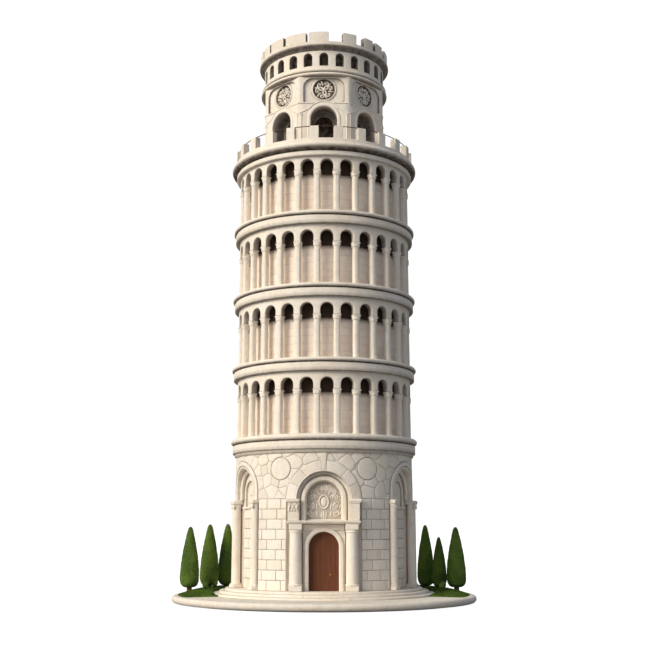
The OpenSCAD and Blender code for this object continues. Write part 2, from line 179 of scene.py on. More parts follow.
def curved(radius, azimuth=0.0):
    """The same for a round wall: across is measured along the wall, out from its surface."""
    start = math.radians(azimuth)
    return lambda u, z, d: polar(radius + d, start + u / radius, z)


def on_wall(azimuth, radius):
    """Across and up as on a flat face, out measured from a round wall."""
    turn = flat(azimuth)
    return lambda u, z, d: turn(u, z, math.sqrt(max(radius * radius - u * u, 0)) + d)


def upright(azimuth, across, out):
    """Stands a turned form in front of the tower's face."""
    turn = flat(azimuth)
    return lambda a, b, z: turn(across + a, z, out - b)


# ---------------------------------------------------------------- outlines

def limits(low_end, value, high_end):
    return max(low_end, min(high_end, value))


def shift(points, x, y):
    return [(x + a, y + b) for a, b in points]


def arc(x, y, r, start, end, parts):
    """Points round a centre, from one angle in degrees to another."""
    angles = [math.radians(start + (end - start) * i / parts) for i in range(parts + 1)]
    return [(x + r * math.cos(a), y + r * math.sin(a)) for a in angles]


def fillet(points, radius, steps=3):
    """Rounds an outline's corners; radius is one number or one for each point."""
    n = len(points)
    radii = radius if isinstance(radius, list) else [radius] * n
    out = []
    for i, (x, y) in enumerate(points):
        if radii[i] <= 0:
            out.append((x, y))
            continue
        px, py = points[i - 1]
        qx, qy = points[(i + 1) % n]
        ax, ay, bx, by = px - x, py - y, qx - x, qy - y
        la, lb = math.hypot(ax, ay), math.hypot(bx, by)
        ax, ay, bx, by = ax / la, ay / la, bx / lb, by / lb
        half = math.acos(limits(-1, ax * bx + ay * by, 1)) / 2
        if half > math.pi / 2 - 0.05:
            out.append((x, y))
            continue
        cut = min(radii[i] / math.tan(half), 0.48 * la, 0.48 * lb)
        r = cut * math.tan(half)
        mx, my = ax + bx, ay + by
        far = r / math.sin(half) / math.hypot(mx, my)
        cx, cy = x + mx * far, y + my * far
        a0 = math.atan2(y + ay * cut - cy, x + ax * cut - cx)
        a1 = math.atan2(y + by * cut - cy, x + bx * cut - cx)
        turn = (a1 - a0 + math.pi) % TAU - math.pi
        out += arc(cx, cy, r, math.degrees(a0), math.degrees(a0 + turn), steps)
    return out


def arch_line(half, foot, spring, legs=4, turns=20):
    """Points up the right leg, round the head and down the left leg."""
    right = [(half, foot + (spring - foot) * i / legs) for i in range(legs)]
    return right + arc(0, spring, half, 0, 180, turns) + [(-x, z) for x, z in reversed(right)]


def densify(points, step):
    """Cuts the sides of a closed outline into pieces no longer than a step."""
    out = []
    for (x0, y0), (x1, y1) in zip(points, points[1:] + points[:1]):
        n = max(1, math.ceil(math.hypot(x1 - x0, y1 - y0) / step))
        out += [(x0 + (x1 - x0) * i / n, y0 + (y1 - y0) * i / n) for i in range(n)]
    return out


def inset(points, distance):
    """Moves a closed anticlockwise outline inwards."""
    n = len(points)
    out = []
    for i, (x, y) in enumerate(points):
        ax, ay = x - points[i - 1][0], y - points[i - 1][1]
        bx, by = points[(i + 1) % n][0] - x, points[(i + 1) % n][1] - y
        la, lb = math.hypot(ax, ay) or 1, math.hypot(bx, by) or 1
        nx, ny = -ay / la - by / lb, ax / la + bx / lb
        ln = math.hypot(nx, ny) or 1
        far = distance / max(0.45, ln / 2) / ln
        out.append((x + nx * far, y + ny * far))
    return out


# ---------------------------------------------------------------- solid forms

def lathe(mesh, profile, depth=0.0, segments=256):
    """Turns an outline of (radius, height) round the tower; a list of painted shade values may stop at the
    last over 0.
    """
    if isinstance(depth, list):
        depth = depth + [0.0] * (len(profile) - len(depth))
    rings = [mesh.ring([polar(r, TAU * s / segments, z) for r, z in profile], depth) for s in range(segments)]
    mesh.loft(rings + rings[:1], caps=False)


def turned_piece(name, node, profile, shade_and_joints, segments=256, **looks):
    """A piece that is one form turned round the tower."""
    mesh = Mesh()
    lathe(mesh, profile, shade_and_joints, segments)
    mesh.build(name, node, **looks)


def turned(mesh, place, profile, segments, power=2.0, depth=0.0):
    """Stands a turned form at a local place; a power over 2 squares its plan off."""
    plan = []
    for c, w in arc(0, 0, 1, 0, 360, segments)[:-1]:
        size = (abs(c) ** power + abs(w) ** power) ** (1 / power)
        plan.append((c / size, w / size))
    mesh.loft([mesh.ring([place(r * c, r * w, z) for c, w in plan], depth) for r, z in profile])


def soft_box(mesh, lo, hi, place, bevel, cuts=0, depth=0.0, ends=0.0):
    """A box of (across, up, out) with rounded edges, cut across so that it can follow a curve.

    ends is the painted shade on the two faces at its ends.
    """
    outline = fillet([(lo[0], lo[1]), (hi[0], lo[1]), (hi[0], hi[1]), (lo[0], hi[1])], bevel, 2)
    bm = bmesh.new()
    made = []
    for out, by in ((lo[2], bevel), (lo[2] + bevel * 0.3, bevel * 0.3), (lo[2] + bevel, 0),
                    (hi[2] - bevel, 0), (hi[2] - bevel * 0.3, bevel * 0.3), (hi[2], bevel)):
        made.append([bm.verts.new((x, z, out)) for x, z in (inset(outline, by) if by else outline)])
    for a, b in zip(made, made[1:]):
        for i in range(len(a)):
            j = (i + 1) % len(a)
            bm.faces.new((a[i], a[j], b[j], b[i]))
    bm.faces.new(made[0][::-1])
    bm.faces.new(made[-1])
    for k in range(1, cuts + 1):
        at = lo[0] + (hi[0] - lo[0]) * k / (cuts + 1)
        geometry = bm.verts[:] + bm.edges[:] + bm.faces[:]
        bmesh.ops.bisect_plane(bm, geom=geometry, plane_co=(at, 0, 0), plane_no=(1, 0, 0))
    bm.verts.index_update()
    edge, middle = (hi[0] - lo[0]) / 2 - bevel, (hi[0] + lo[0]) / 2
    shade_and_joints = [ends if abs(v.co.x - middle) > edge and v.co.z < hi[2] - bevel / 2 else depth for v in bm.verts]
    numbers = mesh.ring([place(*v.co) for v in bm.verts], shade_and_joints)
    mesh.faces += [[numbers[v.index] for v in f.verts] for f in bm.faces]
    bm.free()


def stone(mesh, outline, place, rise, joint, bevel, rng, tilt=0.03, joint_dark_and_shade=1.0):
    """One dressed stone: an outline of (across, up) with a soft edge, proud of its bed of mortar.

    The last argument darkens the joint round it, and that painted shade fades up the stone's sides.
    """
    sunk, swell = 0.03, 0.02
    lift = rise + rng.uniform(-tilt, tilt)
    slope_u, slope_z = rng.uniform(-tilt, tilt) / 4, rng.uniform(-tilt, tilt) / 4
    cu = sum(p[0] for p in outline) / len(outline)
    cz = sum(p[1] for p in outline) / len(outline)

    def level(line, out, joint_and_shade, sloped=1.0):
        points = [place(u, z, out + sloped * (slope_u * (u - cu) + slope_z * (z - cz))) for u, z in line]
        return mesh.ring(points, joint_and_shade)

    mesh.tint_now = rng.uniform(-1, 1)
    edge = inset(outline, joint)
    shoulder = inset(outline, joint + bevel * 0.35)
    top = inset(outline, joint + bevel)
    # Dark joint with painted shade: full in the joint, fading up the sides to none on the face.
    rings = [level(outline, sunk, joint_dark_and_shade, 0), level(edge, sunk, joint_dark_and_shade, 0), level(edge, lift - bevel, joint_dark_and_shade * 0.6),
             level(shoulder, lift - bevel * 0.3, joint_dark_and_shade * 0.2), level(top, lift, 0.0)]
    for k in (0.66, 0.33):
        crown = [(cu + (u - cu) * k, cz + (z - cz) * k) for u, z in top]
        rings.append(level(crown, lift + swell * (1 - k), 0.0))
    mesh.loft(rings, caps=False)
    mesh.fan(rings[-1], place(cu, cz, lift + swell))
    mesh.faces.append(rings[0][::-1])
    mesh.tint_now = 0.0


def darkness(r, d, joint_dark_and_shade):
    """The painted shade at a point of a section; each spot is a patch of painted shade: (distance, out,
    reach, how dark).
    """
    return max([0.0] + [dark * (1 - math.hypot(r - x, d - y) / span) for x, y, span, dark in joint_dark_and_shade])


def arch_sweep(mesh, section, foot, spring, place, *joint_dark_and_shade, depth=0.0):
    """Sweeps a closed section of (distance from the arch's centre line, out) up, over and down an arch."""
    # Spots of painted shade darken the section in its grooves and under its rolls.
    if joint_dark_and_shade:
        depth = [darkness(r, d, joint_dark_and_shade) for r, d in section]
    legs = 4 if spring > foot else 0
    lines = [arch_line(r, foot, spring, legs, 28) for r, _ in section]
    mesh.loft([mesh.ring([place(u, z, d) for (u, z), (_, d) in zip(station, section)], depth)
               for station in zip(*lines)])


def plate(mesh, at, pairs, soft, front, back, bevel, closed, seam=None, shade=(0.1, 0.15, 0.6)):
    """A plate with one opening, from matched pairs of points on the opening and on the plate's edge.

    soft is the same opening let out by the bevel. seam is the half width at which the next plate joins.
    shade is the painted shade on the bevel, at the front of the reveal and at its back.
    """
    rings = [
        mesh.ring([at(q, front) for _, q in soft]),
        mesh.ring([at(((p[0] + q[0]) / 2, (p[1] + q[1]) / 2), front) for p, q in soft]),
        mesh.ring([at(p, front) for p, _ in soft]),
        mesh.ring([at((s[0] * 0.7 + p[0] * 0.3, s[1] * 0.7 + p[1] * 0.3), front - bevel * 0.3)
                   for (s, _), (p, _) in zip(pairs, soft)], shade[0]),
        mesh.ring([at(p, front - bevel) for p, _ in pairs], shade[1]),
        mesh.ring([at(p, back) for p, _ in pairs], shade[2]),
        mesh.ring([at(q, back) for _, q in pairs], shade[2]),
    ]
    mesh.loft(rings, False, closed)
    n = len(pairs)
    for i in range(n if closed else n - 1):
        j = (i + 1) % n
        qi, qj = pairs[i][1], pairs[j][1]
        if seam and min(abs(qi[0]), abs(qj[0])) > seam - 1e-6 and qi[0] * qj[0] > 0:
            continue
        mesh.faces.append([rings[-1][i], rings[-1][j], rings[0][j], rings[0][i]])
    if not closed:
        mesh.faces += [[ring[0] for ring in rings], [ring[-1] for ring in rings][::-1]]


def to_frame(c, s, across, up):
    """How many times (c, s) reaches the edge of a rectangle of that half width and half height."""
    return min(across / abs(c) if abs(c) > 1e-6 else 1e9, up / abs(s) if abs(s) > 1e-6 else 1e9)


def round_headed(edge, z0, z1, half, foot, spring, grow=0.0):
    """Matched points on a round-headed opening and on the rectangle around it."""
    w = half + grow
    corner = math.degrees(math.atan2(z1 - spring, edge))
    legs = [foot + (spring - foot) * i / 3 for i in range(3)]
    pairs = []
    if foot > z0 + 0.01:
        legs[0] -= grow
        pairs = [((w * k, legs[0]), (edge * k, z0)) for k in (0, 0.6, 1)]
    pairs += [((w, z), (edge, z)) for z in legs]
    mirrored = [((-p[0], p[1]), (-q[0], q[1])) for p, q in reversed(pairs)]
    for a in sorted({corner, 180 - corner} | {180 * i / 16 for i in range(17)}):
        c, s = math.cos(math.radians(a)), math.sin(math.radians(a))
        k = to_frame(c, s, edge, z1 - spring)
        pairs.append(((w * c, spring + w * s), (k * c, spring + k * s)))
    return pairs + mirrored


def pierced_ring(mesh, count, r_out, r_in, z0, z1, half, foot, spring, bevel,
                 shade=(0.1, 0.3, 0.95), phase=0):
    """A round wall pierced by round-headed openings; a foot above z0 leaves a sill."""
    edge = r_out * math.pi / count
    sharp = round_headed(edge, z0, z1, half, foot, spring)
    soft = round_headed(edge, z0, z1, half, foot, spring, bevel)
    for k in range(count):
        turn = TAU * k / count + math.radians(phase)
        # The reveals darken towards their back: painted shade.
        plate(mesh, lambda p, r: polar(r, turn + p[0] / r_out, p[1]), sharp, soft, r_out, r_in, bevel,
              closed=foot > z0 + 0.01, seam=edge, shade=shade)


def vine(mesh, place, line, widths, base, lift=1.0):
    """A raised stem or leaf along a line of (across, up), half round and as wide as widths says, with painted
    shade along its two edges.
    """
    sides = 6
    n = len(line)
    rings = []
    for i, (u, z) in enumerate(line):
        (u0, z0), (u1, z1) = line[max(i - 1, 0)], line[min(i + 1, n - 1)]
        length = math.hypot(u1 - u0, z1 - z0) or 1
        du, dz = (u1 - u0) / length, (z1 - z0) / length
        ring = [place(u - dz * across, z + du * across, base + out * lift)
                for across, out in arc(0, 0, widths(i / (n - 1)), -25, 205, sides)]
        rings.append(mesh.ring(ring, [0.85] + [0.0] * (sides - 1) + [0.85]))
    mesh.loft(rings)


def medal(mesh, place, profile, u, z, shade_and_joints, segments=64, tall=1.0):
    """Turns an outline of (radius, out) round a centre on a wall, with flat caps at its two ends."""
    circle = arc(0, 0, 1, 0, 360, segments)[:-1]
    mesh.loft([mesh.ring([place(u + r * c, z + tall * r * s, d) for c, s in circle], joint_and_shade)
               for (r, d), joint_and_shade in zip(profile, shade_and_joints)])


def bud(mesh, place, u, z, radius, base, height, segments=12):
    """A small dome, painted dark at its foot as shade."""
    dome = [(radius * r, base + height * d) for r, d in ((1, -0.1), (0.97, 0.3), (0.8, 0.65), (0.45, 0.92))]
    medal(mesh, place, dome, u, z, [0.7, 0.0, 0.0, 0.0], segments)


def scroll(mesh, place, u, z, size, start, hand, thick, base, turns=1.35):
    """A tapering stem wound into a spiral, with a bud at its heart."""
    line = []
    for t in (i / 21 for i in range(22)):
        a = math.radians(start) + hand * TAU * turns * t
        r = size * (1 - 0.78 * t)
        line.append((u + r * math.cos(a), z + r * math.sin(a)))
    vine(mesh, place, line, lambda t: thick * (1.1 - 0.5 * t), base, 1.3)
    bud(mesh, place, u, z, size * 0.24, base, size * 0.34)


def leaf(mesh, place, u, z, angle, length, width, base, bend, lift=0.9):
    """A pointed leaf that starts at a point, leans by bend and swells in the middle."""
    c, s = math.cos(math.radians(angle)), math.sin(math.radians(angle))
    runs = [(length * t, bend * length * t * t) for t in (i / 7 for i in range(8))]
    line = [(u + along * c - side * s, z + along * s + side * c) for along, side in runs]

    def swell(t):
        return max(0.04, width * math.sin(math.pi * min(1, t * 0.85 + 0.13)))

    vine(mesh, place, line, swell, base, lift)


# ---------------------------------------------------------------- materials

class Shade:
    """Builds one material. Its textures are laid out in millimetres on the object."""

    def __init__(self, name, roughness, specular):
        self.material = bpy.data.materials.new(name)
        self.material.use_nodes = True
        self.tree = self.material.node_tree
        self.shader = self.tree.nodes["Principled BSDF"]
        self.shader.inputs["Roughness"].default_value = roughness
        self.shader.inputs["Specular IOR Level"].default_value = specular
        self.place = self.scaled(self.node("ShaderNodeTexCoord").outputs["Object"], (1 / MM, 1 / MM, 1 / MM))

    def node(self, kind, inputs=(), **settings):
        """Adds a node; each of the inputs named is given a constant or another node's output."""
        made = self.tree.nodes.new(kind)
        for key, value in settings.items():
            setattr(made, key, value)
        for key, item in dict(inputs).items():
            if isinstance(item, bpy.types.NodeSocket):
                self.tree.links.new(item, made.inputs[key])
            else:
                made.inputs[key].default_value = item
        return made

    def scaled(self, spot, scale):
        return self.node("ShaderNodeMapping", {"Vector": spot, "Scale": scale}).outputs["Vector"]

    def noise(self, per_mm, detail, roughness, stretch=None, distortion=0.0):
        spot = self.scaled(self.place, stretch) if stretch else self.place
        inputs = {"Vector": spot, "Scale": per_mm, "Detail": detail, "Roughness": roughness}
        inputs["Distortion"] = distortion
        return self.node("ShaderNodeTexNoise", inputs).outputs["Fac"]

    def cells(self, per_mm):
        return self.node("ShaderNodeTexVoronoi", {"Vector": self.place, "Scale": per_mm}).outputs["Distance"]

    def value_of(self, name):
        return self.node("ShaderNodeAttribute", attribute_name=name).outputs["Fac"]

    def span(self, value, low_in, high_in, low_out=0.0, high_out=1.0):
        inputs = {"Value": value, "From Min": low_in, "From Max": high_in}
        inputs.update({"To Min": low_out, "To Max": high_out})
        return self.node("ShaderNodeMapRange", inputs).outputs["Result"]

    def sums(self, kind, a, b):
        return self.node("ShaderNodeMath", {0: a, 1: b}, operation=kind).outputs["Value"]

    def mix(self, factor, a, b):
        a, b = ((*item, 1) if isinstance(item, tuple) else item for item in (a, b))
        return self.node("ShaderNodeMix", {0: factor, 6: a, 7: b}, data_type="RGBA").outputs[2]

    def over(self, colour, factor, low_in, high_in, high_out, top):
        """Lays a colour over another where a factor is in a span."""
        return self.mix(self.span(factor, low_in, high_in, 0, high_out), colour, top)

    def finish(self, colour, height, bump_mm, rough=None):
        bump = self.node("ShaderNodeBump", {"Height": height, "Distance": bump_mm * MM})
        self.tree.links.new(colour, self.shader.inputs["Base Color"])
        self.tree.links.new(bump.outputs["Normal"], self.shader.inputs["Normal"])
        if rough is not None:
            self.tree.links.new(rough, self.shader.inputs["Roughness"])
        return self.material


def darker(colour, factor):
    return tuple(c * factor for c in colour)


def stone_material(name, light, warm, dull):
    """Cast and hand-tinted stone: cloudy patches, fine specks, pores, and painted shade and dark joints where
    the mesh says.
    """
    shade = Shade(name, 0.78, 0.28)
    clouds = shade.noise(0.11, 4, 0.6, distortion=0.4)
    patches = shade.noise(0.55, 5, 0.62)
    specks = shade.noise(3.2, 3, 0.7)
    streaks = shade.noise(0.5, 3, 0.6, stretch=(1, 1, 0.16))
    pores = shade.cells(1.7)
    tint = shade.value_of("tint")
    colour = shade.mix(shade.span(clouds, 0.4, 0.62), light, warm)
    colour = shade.over(colour, patches, 0.48, 0.72, 0.5, dull)
    colour = shade.over(colour, streaks, 0.55, 0.75, 0.3, dull)
    colour = shade.over(colour, tint, 0, 1, 0.55, dull)
    colour = shade.over(colour, tint, 0, -1, 0.5, light)
    colour = shade.over(colour, specks, 0.62, 0.78, 0.35, darker(dull, 0.45))
    colour = shade.over(colour, pores, 0.1, 0.0, 0.35, darker(dull, 0.4))
    # Painted shade: a dark brown laid on where the mesh's darkening says, for shade in hollows, undersides
    # and behind the arches, and for dark joints.
    joint_and_shade = shade.sums("MULTIPLY", shade.value_of("shade_and_joints"), shade.span(patches, 0.2, 0.6, 0.7, 1.0))
    colour = shade.mix(joint_and_shade, colour, (0.05, 0.029, 0.017))
    height = shade.sums("ADD", shade.sums("MULTIPLY", patches, 1.2), shade.sums("MULTIPLY", specks, 0.5))
    height = shade.sums("SUBTRACT", height, shade.span(pores, 0.12, 0.0, 0, 0.6))
    return shade.finish(colour, height, 0.14, shade.span(patches, 0.3, 0.7, 0.7, 0.9))


def metal_material(name, colour, worn, roughness=0.35, metallic=1.0):
    shade = Shade(name, roughness, 0.5)
    shade.shader.inputs["Metallic"].default_value = metallic
    wear = shade.noise(1.2, 4, 0.6)
    fine = shade.noise(7.0, 3, 0.6, stretch=(1, 1, 0.2))
    mixed = shade.mix(shade.span(wear, 0.42, 0.66), colour, worn)
    return shade.finish(mixed, fine, 0.02, shade.span(wear, 0.3, 0.7, roughness * 0.8, roughness * 1.5))


def wood_material(name, light, dark, along=0.07, roughness=0.55):
    """Grain that runs up and down, with pores, and its own tone on every board."""
    shade = Shade(name, roughness, 0.35)
    grain = shade.noise(2.6, 5, 0.6, stretch=(1, 1, along), distortion=0.6)
    pores = shade.noise(9.0, 3, 0.7, stretch=(1, 1, 0.05))
    colour = shade.mix(shade.span(grain, 0.35, 0.68), light, dark)
    colour = shade.over(colour, pores, 0.58, 0.75, 0.5, darker(dark, 0.4))
    colour = shade.over(colour, shade.value_of("tint"), -1, 1, 0.45, dark)
    # Painted shade: darker where the mesh's darkening says.
    colour = shade.mix(shade.value_of("shade_and_joints"), colour, darker(dark, 0.25))
    height = shade.sums("ADD", grain, shade.sums("MULTIPLY", pores, 0.5))
    return shade.finish(colour, height, 0.08, shade.span(grain, 0.3, 0.7, roughness, roughness + 0.18))


def leaf_material(name, light, mid, dark, scale=1.6):
    """Flocked foliage: tufts of a lighter and a darker green."""
    shade = Shade(name, 0.9, 0.15)
    tufts = shade.noise(scale, 4, 0.7)
    colour = shade.mix(shade.span(tufts, 0.36, 0.62), dark, mid)
    colour = shade.over(colour, shade.noise(0.16, 3, 0.5), 0.42, 0.66, 0.6, light)
    colour = shade.over(colour, shade.value_of("tint"), 0, 1, 0.7, light)
    # Painted shade: a darker green at the feet of trees, tufts, blades and bushes and along the lawn's edges.
    colour = shade.mix(shade.value_of("shade_and_joints"), colour, darker(dark, 0.35))
    return shade.finish(colour, shade.sums("ADD", tufts, shade.cells(scale * 2.6)), 0.18)


def rubber_material(name):
    shade = Shade(name, 0.85, 0.25)
    grain = shade.noise(4.5, 4, 0.65)
    colour = shade.mix(shade.span(grain, 0.3, 0.7), (0.03, 0.028, 0.026), (0.055, 0.05, 0.046))
    colour = shade.over(colour, shade.noise(0.3, 4, 0.6), 0.5, 0.75, 0.35, (0.16, 0.15, 0.13))
    return shade.finish(colour, grain, 0.08)


FINISH_MAKERS = (
    ("cream_stone", stone_material, (0.84, 0.77, 0.68), (0.83, 0.735, 0.62), (0.67, 0.59, 0.50)),
    # wall_stone is the cream stone made lighter and warmer: painted light that makes up for the shade inside
    # the galleries.
    ("wall_stone", stone_material, (0.98, 0.87, 0.76), (0.97, 0.83, 0.71), (0.92, 0.78, 0.66)),
    ("door_wood", wood_material, (0.155, 0.046, 0.015), (0.112, 0.031, 0.010)),
    ("trunk_wood", wood_material, (0.16, 0.085, 0.045), (0.08, 0.042, 0.024), 0.25, 0.85),
    ("brass", metal_material, (0.45, 0.27, 0.06), (0.26, 0.14, 0.04)),
    ("steel", metal_material, (0.56, 0.56, 0.57), (0.40, 0.39, 0.38)),
    ("rail_metal", metal_material, (0.10, 0.065, 0.045), (0.05, 0.033, 0.026), 0.55, 0.6),
    ("foliage", leaf_material, (0.20, 0.30, 0.045), (0.115, 0.195, 0.034), (0.055, 0.105, 0.022)),
    ("lawn_flock", leaf_material, (0.17, 0.265, 0.036), (0.09, 0.16, 0.022), (0.04, 0.08, 0.014), 1.1),
    ("pad_rubber", rubber_material),
)
FINISHES = {slot: make(slot, *looks) for slot, make, *looks in FINISH_MAKERS}


# ---------------------------------------------------------------- base and steps

def nosed(r, z0, z1):
    """The outline of a round slab with a soft nose."""
    nose = 0.36
    return fillet([(STEP_INNER, z0), (r, z0), (r, z1), (STEP_INNER, z1)], [0, nose * 0.4, nose, 0], 6)


def jointed_ring(mesh, profile, joints, phase):
    """A turned ring cut into stones by hairline joints."""
    gap, sunk, steps = 0.035, 0.05, 14
    deep = inset(profile, sunk)
    half = gap / max(r for r, _ in profile)
    rings = []
    for k in range(joints):
        a = TAU * (k + phase) / joints
        lip = 2.2 * half
        stations = [(-lip, profile, 0.0), (-half, deep, 0.4), (half, deep, 0.4), (lip, profile, 0.0)]
        stations += [(TAU / joints * i / steps, profile, 0.0) for i in range(1, steps)]
        for offset, line, joint_and_shade in stations:
            rings.append(mesh.ring([polar(r, a + offset, z) for r, z in line], joint_and_shade))
    mesh.loft(rings + rings[:1], caps=False)


def build_base():
    lo, hi = mm_box("base_disc")
    half = (hi[2] - lo[2]) / 2
    pad_r, pad_top = reach("base_pad") + 0.1, high("base_pad")
    inner, under_steps = 6, 20
    outline = [(inner, pad_top), (pad_r, pad_top), (pad_r, lo[2])]
    outline += arc(BASE_R - half, (lo[2] + hi[2]) / 2, half, -90, 90, 15)
    outline += [(BASE_R - half - 1, hi[2]), (BASE_R - 3.5, hi[2] - 0.02)]
    outline += [(under_steps, hi[2]), (inner, hi[2])]
    # Painted shade: darkest on the lower half of the rim, fading round its nose.
    under = [0.2, 0.2, 0.38, 0.38, 0.36, 0.34, 0.31, 0.28, 0.25, 0.21, 0.17, 0.13, 0.09, 0.05, 0.02]
    turned_piece("base_slab", "base_disc", outline, under, 320, angle=60)
    lower, upper = reach("steps"), reach("step_plinth")
    foot, top = low("steps"), low("step_plinth")
    middle = (foot + top) / 2 - 0.05
    mesh = Mesh()
    jointed_ring(mesh, nosed(lower, foot, middle), 9, 0.31)
    jointed_ring(mesh, nosed((lower + upper) / 2, middle, top), 9, 0.74)
    mesh.build("step_stones", "steps", angle=50)
    mesh = Mesh()
    jointed_ring(mesh, nosed(upper, top, FLOOR_0), 8, 0.36)
    mesh.build("plinth_stones", "step_plinth", angle=50)


# ---------------------------------------------------------------- ground storey

def ashlar(mesh, place, left, right, foot, top, courses, block, rng, rise=0.2):
    """Courses of squared stones in a running bond."""
    height = (top - foot) / courses
    count = max(1, round((right - left) / block))
    narrowest, corner, step = 0.5, 0.16, 1.1
    for row in range(courses):
        bond = 0.32 if row % 2 else 0.68
        cuts = [left]
        for k in range(count):
            cut = left + (right - left) * (k + bond + rng.uniform(-0.05, 0.05)) / count
            if cut < right - 1.1:
                cuts.append(cut)
        cuts.append(right)
        z0, z1 = foot + row * height, foot + (row + 1) * height
        for a, b in zip(cuts, cuts[1:]):
            if b - a >= narrowest:
                outline = densify(fillet([(a, z0), (b, z0), (b, z1), (a, z1)], corner, 2), step)
                stone(mesh, outline, place, rise, 0.06, 0.11, rng, joint_dark_and_shade=0.6)


def clip(polygon, ax, ay, bx, by):
    """Keeps the part of a polygon that is nearer to a than to b."""
    mx, my, nx, ny = (ax + bx) / 2, (ay + by) / 2, bx - ax, by - ay
    out = []
    for (x0, y0), (x1, y1) in zip(polygon, polygon[1:] + polygon[:1]):
        d0 = (x0 - mx) * nx + (y0 - my) * ny
        d1 = (x1 - mx) * nx + (y1 - my) * ny
        if d0 <= 0:
            out.append((x0, y0))
        if d0 * d1 < 0:
            t = d0 / (d0 - d1)
            out.append((x0 + (x1 - x0) * t, y0 + (y1 - y0) * t))
    return out


def push_out(u, z, masks):
    """Moves a point on the wall out of the arches and roundels; says whether it was inside one.

    A mask has an azimuth, a radius, the height of its centre, and whether it has legs.
    """
    hit = False
    for azimuth, r, zc, legs in masks:
        angle = (u / WALL_R - math.radians(azimuth) + math.pi) % TAU - math.pi
        if abs(angle) > 0.6:
            continue
        x = WALL_R * math.sin(angle)
        in_legs = legs and z < zc
        if not (in_legs and abs(x) < r or math.hypot(x, z - zc) < r):
            continue
        hit = True
        if in_legs:
            x = math.copysign(r, x)
        else:
            d = math.hypot(x, z - zc) or 1e-6
            x, z = x * r / d, zc + (z - zc) * r / d
        u = u + WALL_R * (math.asin(limits(-1, x / WALL_R, 1)) - angle)
    return u, z, hit


def build_rubble(rng):
    """Crazy paving between the springing of the arches and the first cornice.

    Each stone is the part of the wall nearest to its seed. Seeds inside the arches make no stone: they
    only stop their neighbours.
    """
    around, margin, tries = TAU * WALL_R, 0.05, 14000
    z0, z1 = IMPOST_TOP + margin, GROUND_TOP - margin
    masks = [(0, ORDER_OUT + margin, IMPOST_TOP, True)]
    masks += [(bay, BAY_OUT + margin, BAY_SPRING, True) for bay in BAYS]
    masks += [(a, ROUNDEL_R + margin, ROUNDEL_Z, False) for a in ROUNDELS]
    deep = [(azimuth, r - 2.3, zc, legs) for azimuth, r, zc, legs in masks]
    seeds = []
    for _ in range(tries):
        u, z = rng.uniform(0, around), rng.uniform(z0 - 0.6, z1 + 0.6)
        void = push_out(u, z, deep)[2]
        if push_out(u, z, masks)[2] and not void:
            continue
        gap = 1.3 if void else 3.0 if rng.random() < 0.4 else 4.3
        if all(math.hypot((u - a + around / 2) % around - around / 2, z - b) > max(gap, g) * 0.9
               for a, b, g, other in seeds if other == void):
            seeds.append((u, z, gap, void))
    mesh = Mesh()
    place = curved(WALL_R)
    widest = 7
    for i, (u, z, _, void) in enumerate(seeds):
        if void:
            continue
        cell = [(u - widest, z0), (u + widest, z0), (u + widest, z1), (u - widest, z1)]
        for j, (a, b, _, _) in enumerate(seeds):
            a = u + (a - u + around / 2) % around - around / 2
            if i != j and abs(a - u) < 2 * widest:
                cell = clip(cell, u, z, a, b)
            if not cell:
                break
        if len(cell) < 3:
            continue
        line = []
        for p in densify(fillet(cell, 0.3, 2), 0.45):
            a, b, _ = push_out(*p, masks)
            if not line or math.hypot(a - line[-1][0], b - line[-1][1]) > 0.12:
                line.append((a, b))
        area = sum(p[0] * q[1] - q[0] * p[1] for p, q in zip(line, line[1:] + line[:1])) / 2
        if len(line) > 5 and area > 0.9:
            stone(mesh, line, place, 0.16, 0.045, 0.13, rng, 0.05, joint_dark_and_shade=0.5)
    mesh.build("rubble_stones")


def build_ground(rng):
    portal_half, bay_half = (WALL_R * math.asin(x / WALL_R) for x in (12.05, 10.35))
    sides = [portal_half] + [bay_half] * 5 + [portal_half]
    centres = [WALL_R * math.radians(a) for a in (0, *BAYS, 360)]
    mesh = Mesh()
    for i in range(6):
        left, right = centres[i] + sides[i], centres[i + 1] - sides[i + 1]
        ashlar(mesh, curved(WALL_R), left, right, FLOOR_0, IMPOST_TOP, 9, 5.4, rng)
    mesh.build("ashlar_stones")
    build_rubble(rng)


def build_roundels():
    r = ROUNDEL_R
    profile = [(r - 0.06, -0.9), (r - 0.06, 0.02), (r - 0.16, 0.16), (r - 0.32, 0.22), (r - 0.5, 0.24),
               (r * 0.6, 0.25), (r * 0.3, 0.26), (0.2, 0.26)]
    # Painted shade in the sunk ring round each disc, fading onto its edge.
    shade_and_joints = [1.0, 0.9, 0.35, 0.05, 0.0, 0.0, 0.0, 0.0]
    mesh = Mesh()
    for azimuth in ROUNDELS:
        medal(mesh, on_wall(azimuth, WALL_R), profile, 0, ROUNDEL_Z, shade_and_joints)
    mesh.build("roundel_discs", "roundels", angle=60)


